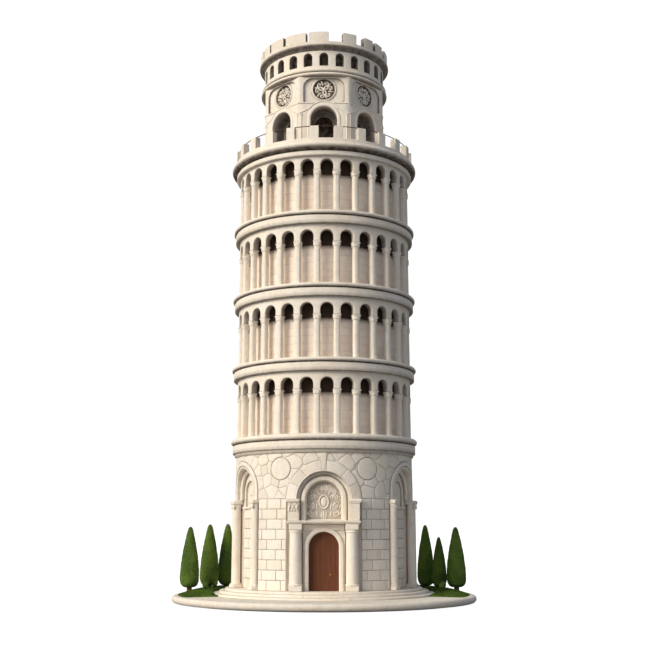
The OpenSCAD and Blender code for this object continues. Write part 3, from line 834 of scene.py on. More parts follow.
def round_column(mesh, azimuth, across, out, r, foot, top, base_h, block, capital_h):
    """A smooth column on a square base, with a necking ring and a plain cushion capital."""
    turn = flat(azimuth)
    half, cap = block / 2, block * 0.51
    soft_box(mesh, (across - half, foot, out - half), (across + half, foot + base_h, out + half), turn, 0.28)
    z, neck = foot + base_h - 0.1, top - capital_h
    swell = [(1.02, 0), (1.13, 0.05), (1.2, 0.28), (1.13, 0.52), (1.03, 0.6)]
    collar = [(0.97, -0.75), (1.09, -0.68), (1.12, -0.5), (1.09, -0.32), (0.98, -0.25), (1.0, -0.05),
              (1.06, 0.15)]
    profile = [(r * k, z + h) for k, h in swell]
    for t in (0, 0.15, 0.35, 0.6, 0.8, 1):
        profile.append((r * (1 - 0.05 * t * t), z + 0.7 + (neck - z - 1.8) * t))
    profile += [(r * k, neck + h) for k, h in collar]
    turned(mesh, upright(azimuth, across, out), profile, 32)
    soft_box(mesh, (across - cap, neck, out - half), (across + cap, top, out + cap), turn, 0.42)


def acanthus(mesh, face, left, right, z0, z1, front):
    """A small carved capital: two rows of leaves and corner scrolls."""
    width, height = right - left, z1 - z0
    for count, foot, out in ((4, 0.0, -0.05), (3, 0.28, 0.07)):
        for k in range(count):
            leaf(mesh, face, left + width * (k + 0.5) / count, z0 + height * foot,
                 90 + (k - (count - 1) / 2) * 7, height * 0.5, width / count * 0.4, front + out, 0.0, 1.1)
    for side, centre in ((1, right - 0.75), (-1, left + 0.75)):
        scroll(mesh, face, centre, z1 - 0.85, 0.72, 90, side, 0.2, front, 1.2)


def boxes(mesh, face, back, *sizes):
    """Soft boxes on a flat face: each is (left, foot, right, top, front, bevel)."""
    for left, foot, right, top, front, bevel in sizes:
        soft_box(mesh, (left, foot, back), (right, top, front), face, bevel)


def build_portal(rng):
    face, wall_face = flat(0), on_wall(0, WALL_R)
    lo, hi = mm_box("portal_columns")
    across, out, radius, block = hi[0] - 2.25, 29.47, 2.0, 4.2
    mesh = Mesh()
    for side in (-1, 1):
        round_column(mesh, 0, side * across, out, radius, lo[2], hi[2], 1.8, block, 2.0)
    mesh.build("portal_column_pair", "portal_columns")

    foot, top = low("door_surround"), high("door_surround")
    half, spring, edge, back, front, bevel = 4.8, 18.8, 6.75, 27.2, 28.4, 0.3
    sharp = round_headed(edge, foot, top, half + 0.02, foot, spring)
    soft = round_headed(edge, foot, top, half + 0.02, foot, spring, bevel)
    mesh = Mesh()
    plate(mesh, lambda p, d: face(*p, d), sharp, soft, front, back, bevel, closed=False)
    section = shift([(0, -1.1), (1.5, -0.5), (1.5, 0.55), (1.2, 0.8), (0.35, 0.8), (0, 0.4)], half, front)
    arch_sweep(mesh, fillet(section, 0.22), foot, spring, face)
    mesh.build("door_architrave", "door_surround")

    z = LEDGE_TOP
    mesh = Mesh()
    boxes(mesh, face, 27.0, (-6.7, top, 6.7, z - 1, 29.0, 0.2), (-6.7, z - 1.55, 6.7, z - 0.95, 29.7, 0.28),
          (-11.9, z - 1, 11.9, z, 32, 0.46), (-11.6, z - 1.3, -6.9, z - 0.85, 31.55, 0.2),
          (6.9, z - 1.3, 11.6, z - 0.85, 31.55, 0.2))
    mesh.build("portal_ledge", "portal_lintel")

    foot, z, top = LEDGE_TOP - 0.05, IMPOST_TOP - 1.1, IMPOST_TOP
    mesh = Mesh()
    boxes(mesh, face, back, (-11.6, foot, -7.9, z + 0.05, 30.4, 0.3), (-12.2, z, -7.85, top, 30.95, 0.34),
          (7.9, foot, 11.6, z + 0.05, 30.4, 0.3), (7.85, z, 12.2, top, 30.95, 0.34),
          (7.9, z - 0.45, 11.85, z + 0.05, 30.65, 0.2))
    acanthus(mesh, face, -11.75, -7.95, z - 3.1, z, 30.4)
    mesh.build("portal_impost_pair", "portal_imposts")

    mesh = Mesh()
    wedge, key_half, key_foot, key_top = 180 / 7, 4.4, 43.15, GROUND_TOP - 0.25
    for k in (0, 1, 2, 4, 5, 6):
        a0 = 90 + key_half if k == 4 else wedge * k
        a1 = 90 - key_half if k == 2 else wedge * (k + 1)
        voussoir(mesh, wall_face, a0, a1, rng)
    key = [(-0.75, key_foot), (0.75, key_foot), (1.15, key_top), (-1.15, key_top)]
    stone(mesh, densify(fillet(key, 0.15, 2), 1.0), wall_face, 0.38, 0.05, 0.16, rng, joint_dark_and_shade=0.4)
    outer = ORDER_OUT - 0.2
    # Each row's last item gives spots of painted shade in the grooves between the orders.
    for place, foot, radius, steps, section, joint_dark_and_shade in (
            (wall_face, IMPOST_TOP, 0.1, 3,
             [(ORDER_IN, -3.4), (outer, -2.4), (outer, 0.04), (ORDER_IN + 0.05, 0.04)], []),
            (wall_face, IMPOST_TOP, 0.14, 3,
             [(8.75, -1.1), (9.2, -1.1), (9.2, 0.3), (9.0, 0.42), (8.8, 0.3), (8.7, 0.0)],
             [(8.9, -1.1, 1.2, 0.9)]),
            (face, LEDGE_TOP, 0.25, 3,
             [(9.2, 26.9), (9.2, 28.2), (8.5, 28.2), (7.9, 28.0), (7.3, 27.6), (7.2, 26.9)],
             [(9.2, 28.2, 0.9, 0.8), (7.3, 27.5, 0.8, 0.9)]),
            (face, LEDGE_TOP, 0.32, 4,
             [(5.8, 26.9), (7.35, 26.9), (7.35, 28.2), (7.0, 28.7), (6.1, 28.7), (5.8, 28.3)],
             [(7.35, 27.5, 0.8, 0.8), (5.8, 27.2, 0.9, 0.8)])):
        arch_sweep(mesh, fillet(section, radius, steps), foot, IMPOST_TOP, place, *joint_dark_and_shade)
    mesh.build("portal_arch", "portal_archivolt")


def voussoir(mesh, place, a0, a1, rng):
    """One wedge of the portal's outer order, between two angles in degrees."""
    n = max(4, int((a1 - a0) / 3))
    line = arc(0, IMPOST_TOP, ORDER_OUT, a0, a1, n) + arc(0, IMPOST_TOP, ORDER_IN, a0, a1, n)[::-1]
    stone(mesh, densify(line, 0.9), place, 0.32, 0.03, 0.12, rng, 0.02, joint_dark_and_shade=0.4)


def build_lunette():
    """A generic carved panel: an oval boss in a ring, with scrolls and leaves growing round it."""
    face = flat(0)
    ground, back, front, edge = 26.35, 25.9, 26.85, 5.85
    centre, foot = IMPOST_TOP, LEDGE_TOP - 0.02
    middle = centre - 1
    mesh = Mesh()
    outline = arch_line(edge, foot, centre, 5, 24)
    # Painted shade on the carved ground, darkest round its rim; the boss below is painted dark at its foot.
    rings = [mesh.ring([face(u, z, back) for u, z in outline], 0.3)]
    for k in (1, 0.8, 0.6, 0.4, 0.2):
        rings.append(mesh.ring([face(u * k, middle + (z - middle) * k, ground) for u, z in outline],
                               0.42 if k < 1 else 0.75))
    mesh.loft(rings)
    section = fillet([(5.45, ground - 0.2), (edge, ground - 0.2), (edge, front), (5.6, front)], 0.12)
    arch_sweep(mesh, section, LEDGE_TOP, centre, face)
    soft_box(mesh, (-5.5, foot, ground - 0.2), (5.5, LEDGE_TOP + 0.5, front), face, 0.18)
    oval = [(1.5 * c, centre - 0.9 + 2.1 * s) for c, s in arc(0, 0, 1, 0, 360, 36)]
    vine(mesh, face, oval, lambda t: 0.3, ground, 1.5)
    boss = shift([(1.2, -0.1), (1.1, 0.15), (0.85, 0.36), (0.5, 0.48), (0.1, 0.5)], 0, ground)
    medal(mesh, face, boss, 0, centre - 0.9, [0.7, 0.2, 0.0, 0.0, 0.0], 32, 1.45)
    for side in (-1, 1):
        for k, (angle, size) in enumerate(((6, 0.98), (34, 0.94), (62, 0.9))):
            a, b = math.radians(angle), math.radians(angle + 15)
            scroll(mesh, face, side * 3.9 * math.cos(a), centre + 0.1 + 4.0 * math.sin(a), size,
                   200 + angle if side > 0 else -20 - angle, side * (1 if k % 2 == 1 else -1), 0.22, ground)
            leaf(mesh, face, side * 2.7 * math.cos(b), centre + 2.8 * math.sin(b),
                 90 - side * (75 - angle * 0.9), 2.0, 0.28, ground, side * 0.2)
            leaf(mesh, face, side * 2.2 * math.cos(b), centre - 0.3 + 2.3 * math.sin(b),
                 90 - side * (40 - angle * 0.4), 1.3, 0.23, ground, side * -0.2)
        for z, size, hand in ((centre - 2.3, 1.0, 1), (centre - 4.7, 1.05, -1)):
            scroll(mesh, face, side * 3.9, z, size, 90, side * hand, 0.23, ground)
            leaf(mesh, face, side * 2.1, z - 0.9, 90 - side * 20, 1.9, 0.28, ground, side * 0.25)
            leaf(mesh, face, side * 5.05, z - 0.7, 90 - side * 8, 1.4, 0.18, ground, side * -0.2)
        leaf(mesh, face, side * 0.6, LEDGE_TOP + 0.6, 90 - side * 14, 2.3, 0.3, ground, side * 0.2)
        leaf(mesh, face, side * 0.25, centre + 2.8, 90 - side * 24, 2.0, 0.27, ground, side * 0.15)
    leaf(mesh, face, 0, LEDGE_TOP + 0.5, 90, 2.9, 0.36, ground, 0)
    leaf(mesh, face, 0, centre + 2.8, 90, 2.1, 0.32, ground, 0)
    for u, z in arc(0, centre, 5.15, 0, 180, 20):
        bud(mesh, face, u, z, 0.2, ground + 0.02, 0.3, 8)
    mesh.build("carved_lunette", "portal_lunette")


def lancet(mesh, face, ground, sill):
    """A small blind window over a sill, with a sprig carved in it."""
    spring = sill + 4.55
    roll = [(4.0, 26.8), (4.8, 26.8), (4.8, 27.6), (4.5, 27.85), (4.2, 27.85), (4.0, 27.6)]
    # Painted shade along the roll's two edges and under the bead.
    joint_dark_and_shade = ((4.8, 27.0, 0.7, 0.8), (4.0, 27.0, 0.7, 0.8))
    arch_sweep(mesh, fillet(roll, 0.16), sill - 0.05, spring, face, *joint_dark_and_shade)
    bead = fillet([(3.1, 26.8), (3.4, 26.8), (3.4, 27.2), (3.1, 27.2)], 0.1)
    arch_sweep(mesh, bead, sill + 0.45, spring, face, (3.4, 26.9, 0.4, 0.8))
    soft_box(mesh, (-6.5, sill - 0.75, 26.8), (6.5, sill, 27.95), face, 0.28)
    for side in (-1, 1):
        scroll(mesh, face, side * 1.35, spring - 0.3, 0.85, 90, side, 0.2, ground)
        leaf(mesh, face, side * 0.4, sill + 1.05, 90 - side * 25, 2.0, 0.26, ground, side * 0.2)
        leaf(mesh, face, side * 5.6, sill + 1.05, 90 - side * 3, 2.4, 0.22, ground, 0)
    leaf(mesh, face, 0, spring + 0.5, 90, 1.9, 0.28, ground, 0)
    bud(mesh, face, 0, spring - 0.6, 0.5, ground, 0.4)


def build_bays(rng):
    """Five blind arches; each has an outer order, an inner one, a lancet and a wall of squared stones."""
    order = fillet([(7.3, -3.3), (BAY_OUT - 0.1, -1.6), (BAY_OUT - 0.1, 0.2), (BAY_OUT - 0.35, 0.38),
                    (8.5, 0.38), (8.3, 0.12), (8.1, 0.2), (7.7, 0.2), (7.35, -0.1)], 0.13)
    inner = fillet([(6.3, 26.8), (7.45, 26.8), (7.45, 28.1), (7.1, 28.45), (6.6, 28.45), (6.3, 28.1)], 0.25)
    sill, wall_out, column_across = 31.95, 27.02, 8.4
    columns = Mesh()
    for azimuth, side_name in zip(BAYS, BAY_NAMES):
        face = flat(azimuth)
        mesh = Mesh()
        # Spots of painted shade on the orders' edges, in the groove and at their backs.
        arch_sweep(mesh, order, IMPOST_TOP, BAY_SPRING, on_wall(azimuth, WALL_R), (BAY_OUT, 0, 0.45, 0.9),
                   (8.3, 0.1, 0.3, 1.0), (7.3, -2, 2.0, 0.8))
        arch_sweep(mesh, inner, IMPOST_TOP, BAY_SPRING, face, (7.5, 27.6, 0.9, 0.9), (6.3, 27.2, 0.9, 0.9))
        lancet(mesh, face, 26.95, sill)
        ashlar(mesh, lambda u, z, d: face(u, z, wall_out + d), -6.5, 6.5, FLOOR_0, sill - 0.75, 8, 6.4,
               rng, 0.16)
        mesh.build(f"blind_arch_{side_name}_stones", f"blind_arch_{side_name}")
        for side in (-1, 1):
            across = side * column_across
            round_column(columns, azimuth, across, 29.2, 1.5, FLOOR_0, IMPOST_TOP, 1.2, 3.5, 1.4)
            for k in (-1, 0, 1):
                leaf(columns, face, across + k * 0.95, IMPOST_TOP - 3.0, 90 - k * 8, 1.7, 0.36, 30.55, 0, 1.0)
    columns.build("blind_column_set", "blind_columns")


# ---------------------------------------------------------------- door

def build_door(rng):
    lo, hi = mm_box("door_leaf")
    face = flat(0)
    boards, seam = 7, 0.004
    width = (hi[0] - lo[0]) / boards
    front, back = -lo[1], -hi[1]
    mesh = Mesh()
    for k in range(boards):
        mesh.tint_now = rng.uniform(-1, 1)
        a, b = lo[0] + k * width + seam, lo[0] + (k + 1) * width - seam
        soft_box(mesh, (a, lo[2], back + 0.3), (b, hi[2], front), face, 0.06)
    mesh.tint_now = 0.4
    for z in (lo[2] + 2.4, (lo[2] + hi[2]) / 2, hi[2] - 2.4):
        soft_box(mesh, (lo[0] + 0.5, z - 0.7, back), (hi[0] - 0.4, z + 0.7, back + 0.5), face, 0.14)
    mesh.build("door_boards", "door_leaf", "door_wood", DOOR)
    lo, hi = mm_box("door_knob")
    knob = shift([(0.31, -0.05), (0.31, 0.05), (0.24, 0.09), (0.11, 0.11), (0.1, 0.2), (0.19, 0.26),
                  (0.23, 0.35), (0.18, 0.43), (0.08, 0.47)], 0, front)
    mesh = Mesh()
    medal(mesh, face, knob, (lo[0] + hi[0]) / 2, (lo[2] + hi[2]) / 2, [0.0] * len(knob), 20)
    mesh.build("door_handle", "door_knob", "brass", DOOR)


# ---------------------------------------------------------------- cornices, galleries

def build_cornices():
    """Plain fascia, deep groove and a round lip; the first has a bed moulding under it."""
    # Painted shade under the fascia, in the groove and on the lip's underside; the bed moulding gets some
    # too.
    under = [1.0, 1.0, 0.75, 0.7, 0.6, 0.42, 0.0, 0.0, 0.4]
    under += [0.95, 0.95, 0.85, 0.75, 0.65, 0.5, 0.32, 0.15, 0.04]
    inner, segments = 20, 288
    for k in range(1, 5):
        node = f"cornice_{k}"
        foot, top, lip_r = low(node), low(f"gallery_wall_{k}"), reach(node)
        fascia = lip_r - 0.65
        lip_foot = foot + 3.15
        r = (top - lip_foot) / 2
        profile = [(inner, foot), (28.1, foot), (28.2, foot)]
        profile += shift([(-0.3, 0), (-0.06, 0.1), (0, 0.3), (0, 1.5), (0, 2.55), (-0.08, 2.8), (-0.45, 2.95),
                          (-0.5, 3.15)], fascia, foot)
        profile += arc(lip_r - r, lip_foot + r, r, -90, 90, 12) + [(inner + 4, top), (inner, top)]
        mesh = Mesh()
        lathe(mesh, profile, under, segments)
        if k == 1:
            bed = [(29.5, -1.15), (30.95, -1.15), (31.25, -0.75), (31.45, 0.05), (29.5, 0.05)]
            lathe(mesh, fillet(shift(bed, 0, foot), 0.12), 0.42, segments)
        mesh.build(f"{node}_ring", node, angle=60)


def wall_stone(mesh, left, right, foot, top, rng, dark):
    """A shallow block on the curved gallery wall; its painted shade follows its height, and its rim is a dark
    joint.
    """
    place = curved(CORE_R)
    lift = 0.1 + rng.uniform(-0.02, 0.02)
    mesh.tint_now = rng.uniform(-1, 1)
    gap, bevel, joint = 0.035, 0.07, 0.3

    def stations(a, b, parts):
        a, b = a + gap, b - gap
        return [a] + [a + bevel + (b - a - 2 * bevel) * i / parts for i in range(parts + 1)] + [b]

    across, up = stations(left, right, 6), stations(foot, top, 3)
    columns = []
    for u in across:
        at_rim = [u in (across[0], across[-1]) or z in (up[0], up[-1]) for z in up]
        columns.append(mesh.ring([place(u, z, 0.0 if rim else lift) for z, rim in zip(up, at_rim)],
                                 [max(dark(z), joint if rim else 0.0) for z, rim in zip(up, at_rim)]))
    for a, b in zip(columns, columns[1:]):
        mesh.strip(a, b, closed=False)
        near = a if a is columns[0] else [a[0], a[-1]]
        away = b if b is columns[-1] else [b[0], b[-1]]
        mesh.faces.append(near + away[::-1])
    mesh.tint_now = 0.0


def gallery_column(mesh, angle, floor, top):
    """Soft-square shaft, cushion base, necking ring and a block capital over a neck painted dark as shade."""
    height = top - floor
    base = [(1.24, 0), (1.28, 0.08), (1.28, 0.38), (1.22, 0.48), (1.14, 0.52), (1.2, 0.62), (1.18, 0.76),
            (1.06, 0.86)]
    shaft = [(1.1, 1.0), (1.09, height * 0.35), (1.05, height * 0.7), (1.02, height - 2.0)]
    bell = [(1.06, -1.9), (1.2, -1.82), (1.27, -1.65), (1.29, -1.35), (1.29, -0.9), (1.28, -0.62)]
    turned(mesh, upright(angle, 0, COLUMN_AT), shift(base + shaft, 0, floor) + shift(bell, 0, top), 20, 3.4)
    face, at = flat(angle), COLUMN_AT
    soft_box(mesh, (-1.3, top - 0.66, at - 1.2), (1.3, top - 0.14, at + 1.29), face, 0.1)
    # The neck under the capital is painted dark: a painted shadow line.
    soft_box(mesh, (-1.1, top - 0.3, at - 1.1), (1.1, top + 0.02, at + 1.0), face, 0.05, 0, 0.8, 0.8)


def build_gallery(i, rng):
    wall, columns, arcade = f"gallery_wall_{i}", f"gallery_columns_{i}", f"gallery_arcade_{i}"
    floor, roof, capitals = low(wall), high(wall), high(columns)

    def dark(z):
        """Painted shade on the wall behind the arches: none below the capitals, black above."""
        return 1.5 * limits(0.0, (z - floor - clear) / fade, 1.0) ** 1.4

    clear, fade = 12.3, 2.2
    pitch, course, courses = TAU * CORE_R / COLUMNS, 2.66, 5
    mesh = Mesh()
    for row in range(courses):
        foot = floor + course * row
        for k in range(COLUMNS):
            left = pitch * (k + row % 2 * 0.5)
            wall_stone(mesh, left, left + pitch, foot, floor + course * (row + 1), rng, dark)
    levels = [floor + h for h in (course * courses, 13.8, 14.3, 15, 17)] + [roof]
    # The lining up to the ceiling takes the same painted shade, black above the capitals.
    lining = [(CORE_R - 0.2, levels[0])] + [(CORE_R + 0.1, z) for z in levels] + [(CORE_R - 0.2, roof)]
    lathe(mesh, lining, [dark(z) for _, z in lining], 168)
    mesh.build(f"gallery_stones_{i}", slot="wall_stone")

    mesh = Mesh()
    for k in range(COLUMNS):
        gallery_column(mesh, (k + 0.5) * 360 / COLUMNS + GALLERY_TURN, floor, capitals)
    mesh.build(f"gallery_column_ring_{i}", columns, angle=50)

    half, inner, bevel, opening_h = 2.25, 28.2, 0.22, 18.6
    spring = floor + opening_h - half
    mesh = Mesh()
    pierced_ring(mesh, COLUMNS, ARCADE_R, inner, capitals, high(arcade), half, capitals, spring, bevel,
                 phase=GALLERY_TURN)
    mesh.build(f"gallery_arch_ring_{i}", arcade, angle=50)


# ---------------------------------------------------------------- terrace

def build_terrace(rng):
    foot, floor = low("terrace_cornice"), low("terrace_parapet")
    lip_r, nose = reach("terrace_cornice"), 1.25
    profile = [(18, 0), (28.1, 0), (28.2, 0), (31.6, 0), (31.9, 0.2), (31.9, 1.35), (31.75, 1.6),
               (31.4, 1.68), (31.4, 1.95), (31.8, 2.1)] + arc(lip_r - nose, 3.35, nose, -90, 90, 12)
    profile = shift(profile, 0, foot) + [(30.5, floor), (24, floor), (18, floor)]
    # Painted shade under the cornice, in its groove and on the lip's underside.
    shade_and_joints = [1.0, 1.0, 0.5, 0.2, 0.0, 0.0, 0.3] + [0.95] * 5 + [0.92, 0.82, 0.62, 0.38, 0.15]
    turned_piece("terrace_ring", "terrace_cornice", profile, shade_and_joints, 288, angle=60)

    inner, outer, sill, top = 29.9, 32.2, floor + 1.4, high("terrace_parapet")
    count, half = 24, 1.55
    mesh = Mesh()
    lathe(mesh, fillet([(inner, floor), (outer, floor), (outer, sill), (inner, sill)], 0.2), 0.0, 288)
    for k in range(count):
        mesh.tint_now = rng.uniform(-0.8, 0.8)
        lift = rng.uniform(-0.06, 0.0)
        # The merlons' ends get a little painted shade.
        soft_box(mesh, (-half, sill - 0.15, inner - outer), (half, top + lift, 0),
                 curved(outer, (k - 0.4) * 360 / count), 0.2, 3, 0.0, 0.25)
    mesh.build("terrace_merlons", "terrace_parapet")
    paving("terrace_paving", floor, ((22.6, 26.2, 32), (26.2, 29.85, 36)), rng)


def paving(name, level, rows, rng):
    """Rings of thin flagstones on a round floor; a row is (inner radius, outer radius, stones)."""
    mesh = Mesh()
    for inner, outer, count in rows:
        for k in range(count):
            start, end = 360 * k / count - 90, 360 * (k + 1) / count - 90
            line = arc(0, 0, outer, start, end, 4) + arc(0, 0, inner, end, start, 4)
            stone(mesh, line, lambda u, v, d: (u, v, level + d), 0.1, 0.06, 0.06, rng, 0.01)
    mesh.build(name, slot="wall_stone")


# ---------------------------------------------------------------- belfry

def rounded_panel(half, z0, z1, radius, at_edge, top, foot, grow):
    """Matched points on a panel with round upper corners and on the rectangle around it, anticlockwise."""
    w, b, t, r = half + grow, z0 - grow, z1 + grow, radius + grow
    inner = [(x, b) for x in (-w, -w / 2, 0, w / 2, w)]
    inner += [(w, b + (t - r - b) * i / 3) for i in (1, 2)] + arc(w - r, t - r, r, 0, 90, 8)
    inner += [((w - r) * (1 - i / 3), t) for i in range(1, 6)] + arc(r - w, t - r, r, 90, 180, 8)
    inner += [(-w, b + (t - r - b) * i / 3) for i in (2, 1)]
    middle = (foot + top) / 2
    pairs = []
    for x, z in inner:
        k = to_frame(x, z - middle, at_edge, top - middle)
        pairs.append(((x, z), (x * k, middle + (z - middle) * k)))
    for i, x, z in ((0, -at_edge, foot), (4, at_edge, foot), (11, at_edge, top), (25, -at_edge, top)):
        pairs[i] = (inner[i], (x, z))
    return pairs


def arch_band(mesh, inner, outer, front, back, place, joint_and_shade, far_shade):
    """A band of stone between two matched arch lines, from back to front, with its painted shade at either
    end.
    """
    stations = ((inner, front, joint_and_shade), (outer, front, joint_and_shade), (outer, back, far_shade),
                (inner, (front + 3 * back) / 4, far_shade), (inner, (front + back) / 2, far_shade))
    rings = [mesh.ring([place(u, z, d) for u, z in line], shade_and_joints) for line, d, shade_and_joints in stations]
    mesh.loft(rings + rings[:1], False, False)
    mesh.faces += [[ring[0] for ring in rings], [ring[-1] for ring in rings][::-1]]


def belfry_niche(mesh, face, floor, half):
    """Linings of a niche, painted dark as shade: its reveal, its back wall with a smaller arch, and the
    hollow behind that.
    """
    middle, deep, skin = BELFRY_FLAT - 4.4, BELFRY_FLAT - 8.4, 0.08
    arch, wide = (arch_line(w, floor, BELFRY_SPRING) for w in (half - 0.12, half - 0.02))
    small, inner, outer = (arch_line(w, floor, NICHE_SPRING) for w in (3.3, 3.16, 3.28))
    arch_band(mesh, arch, wide, BELFRY_FLAT + 0.1, middle, face, 0.45, 0.85)
    arch_band(mesh, small, arch, middle, middle - skin, face, 0.82, 0.82)
    arch_band(mesh, inner, outer, middle - 0.06, deep, face, 1, 1)
    mesh.loft([mesh.ring([face(u, z, d) for u, z in small], 1.0) for d in (deep, deep - skin)])


def build_belfry():
    floor, top = low("belfry_drum"), high("belfry_drum")
    half, back, opening_bevel, panel_bevel = 4.7, BELFRY_FLAT - 0.25, 0.2, 0.16
    sharp, soft = (round_headed(BELFRY_EDGE, floor, BELFRY_COURSE, half, floor, BELFRY_SPRING, grow)
                   for grow in (0.0, opening_bevel))
    panel, soft_panel = (rounded_panel(7.25, BELFRY_COURSE + 0.45, top - 0.5, 3.3, BELFRY_EDGE, top,
                                       BELFRY_COURSE, grow) for grow in (0.0, panel_bevel))
    faces, trims, carving, niches = Mesh(), Mesh(), Mesh(), Mesh()
    for azimuth in range(0, 360, 45):
        face = flat(azimuth)

        def at(p, d):
            """Mitres the corner of the octagon."""
            return face(p[0] * d / BELFRY_FRONT if abs(p[0]) > BELFRY_EDGE - 0.01 else p[0], p[1], d)

        plate(faces, at, sharp, soft, BELFRY_FRONT, back, opening_bevel, False, BELFRY_EDGE)
        # The panel's reveal darkens to full painted shade at its back.
        plate(faces, at, panel, soft_panel, BELFRY_FRONT, back, panel_bevel, True, BELFRY_EDGE,
              (0.25, 0.6, 1.0))
        panel_floor(faces, face, BELFRY_FLAT + 0.03, BELFRY_COURSE + 0.3, top - 0.1)
        belfry_trim(trims, face, floor, half)
        belfry_niche(niches, face, floor, half)
        medallion(carving, face)
    faces.build("belfry_faces", angle=50)
    niches.build("belfry_niche_shade_linings", angle=50)
    trims.build("belfry_mouldings", "belfry_archivolts", angle=50)
    carving.build("belfry_carving", "belfry_medallions", angle=50)


def panel_floor(mesh, face, out, z0, z1):
    """The sunk panel's own ground, with a round opening for the medallion; painted shade darkens its outer
    edge and the rim of the opening.
    """
    r, edge = 4.55, 7.4
    pairs = []
    for c, s in arc(0, 0, 1, 0, 360, 48)[:-1]:
        k = to_frame(c, s, edge, z1 - MEDAL_Z if s > 0 else MEDAL_Z - z0)
        pairs.append((r * c, r * s, k * c, k * s))
    rings = [mesh.ring([face(u + (v - u) * t, MEDAL_Z + z + (w - z) * t, out) for u, z, v, w in pairs], joint_and_shade)
             for t, joint_and_shade in ((0, 0.4), (0.12, 0.0), (0.8, 0.0), (1, 1.0))]
    mesh.loft(rings, caps=False)


def belfry_trim(mesh, face, floor, half):
    """Archivolt, hood mould with flared ends, string course, inner arch roll and corner beads."""
    section = [(-0.02, -0.4), (1.15, -0.4), (1.15, 0.12), (0.85, 0.3), (0.2, 0.3), (-0.02, 0.1)]
    arch_sweep(mesh, fillet(shift(section, half, BELFRY_FRONT), 0.14), floor, BELFRY_SPRING, face)
    section = [(3.3, -4.7), (3.95, -4.7), (3.95, -4.3), (3.6, -4.15), (3.3, -4.35)]
    # The inner arch roll is painted dark as shade.
    arch_sweep(mesh, fillet(shift(section, 0, BELFRY_FLAT), 0.1), floor, NICHE_SPRING, face, depth=0.8)
    flare = [(BELFRY_EDGE - 0.1, BELFRY_SPRING + 2.0), (BELFRY_EDGE - 0.9, BELFRY_SPRING + 2.5)]
    hood = flare + arc(0, BELFRY_SPRING, 6.5, 36, 144, 18) + [(-x, z) for x, z in flare[::-1]]
    thick = 0.24
    vine(mesh, face, hood, lambda t: thick, BELFRY_FRONT)
    string = [(BELFRY_EDGE - 0.05, 0), (6, 0), (4.2, 0), (3.2, 0.05)]
    for side in (-1, 1):
        line = [(side * x, BELFRY_COURSE + z) for x, z in string]
        vine(mesh, face, line, lambda t: thick, BELFRY_FRONT, 1.1)
        for far, near, z0, z1, out in ((0.55, 1.05, floor, BELFRY_SPRING + 1.4, 0.2),
                                       (0.45, 1.2, BELFRY_SPRING + 1.3, BELFRY_SPRING + 1.95, 0.3)):
            left, right = sorted((side * (BELFRY_EDGE - far), side * (BELFRY_EDGE - near)))
            soft_box(mesh, (left, z0, BELFRY_FRONT - 0.2), (right, z1, BELFRY_FRONT + out), face, 0.12)


def medallion(mesh, face):
    """A pierced roundel of generic scrollwork: six scrolls and twelve leaves round a rosette."""
    z, r, ground, proud = MEDAL_Z, 4.5, BELFRY_FLAT - 0.48, BELFRY_FLAT + 0.12
    # A disc painted black behind the pierced work as shade, and painted shade where the ring meets its
    # ground.
    medal(mesh, face, [(r, ground - 0.2), (r, ground), (r * 0.3, ground)], 0, z, [1, 1, 1], 48)
    section = [(r, ground), (r, proud), (r - 0.18, proud + 0.18), (r - 0.5, proud + 0.18), (r - 0.62, proud),
               (r - 0.62, ground)]
    loops = [mesh.ring([face(q * c, z + q * s, d) for q, d in section], [0.9, 0.1, 0.0, 0.0, 0.2, 0.9])
             for c, s in arc(0, 0, 1, 0, 360, 64)[:-1]]
    mesh.loft(loops + loops[:1], caps=False)
    for k in range(6):
        angle = 60 * k + 12
        c, s = math.cos(math.radians(angle)), math.sin(math.radians(angle))
        hand = 1 if k % 2 == 1 else -1
        scroll(mesh, face, 2.35 * c, z + 2.35 * s, 1.0, angle + 180, hand, 0.25, ground + 0.12, 1.1)
        between = angle + 30
        u, w = 1.5 * math.cos(math.radians(between)), 1.5 * math.sin(math.radians(between))
        leaf(mesh, face, u, z + w, between, 2.1, 0.34, ground + 0.12, 0.2, 1.4)
        leaf(mesh, face, 0.3 * c, z + 0.3 * s, angle, 1.2, 0.34, ground + 0.2, 0.0, 1.3)
    bud(mesh, face, 0, z, 0.55, ground + 0.4, 0.45)


# ---------------------------------------------------------------- crown

CROWN_GAPS = [(-70, 2), (-55.6, 2), (-37, 2.6), (-14.6, 2.4), (10.5, 13), (33.8, 8.5), (50.3, 3.6), (67, 6)]
BACK_GAPS = [(87 + 20 * k, 8) for k in range(10)]


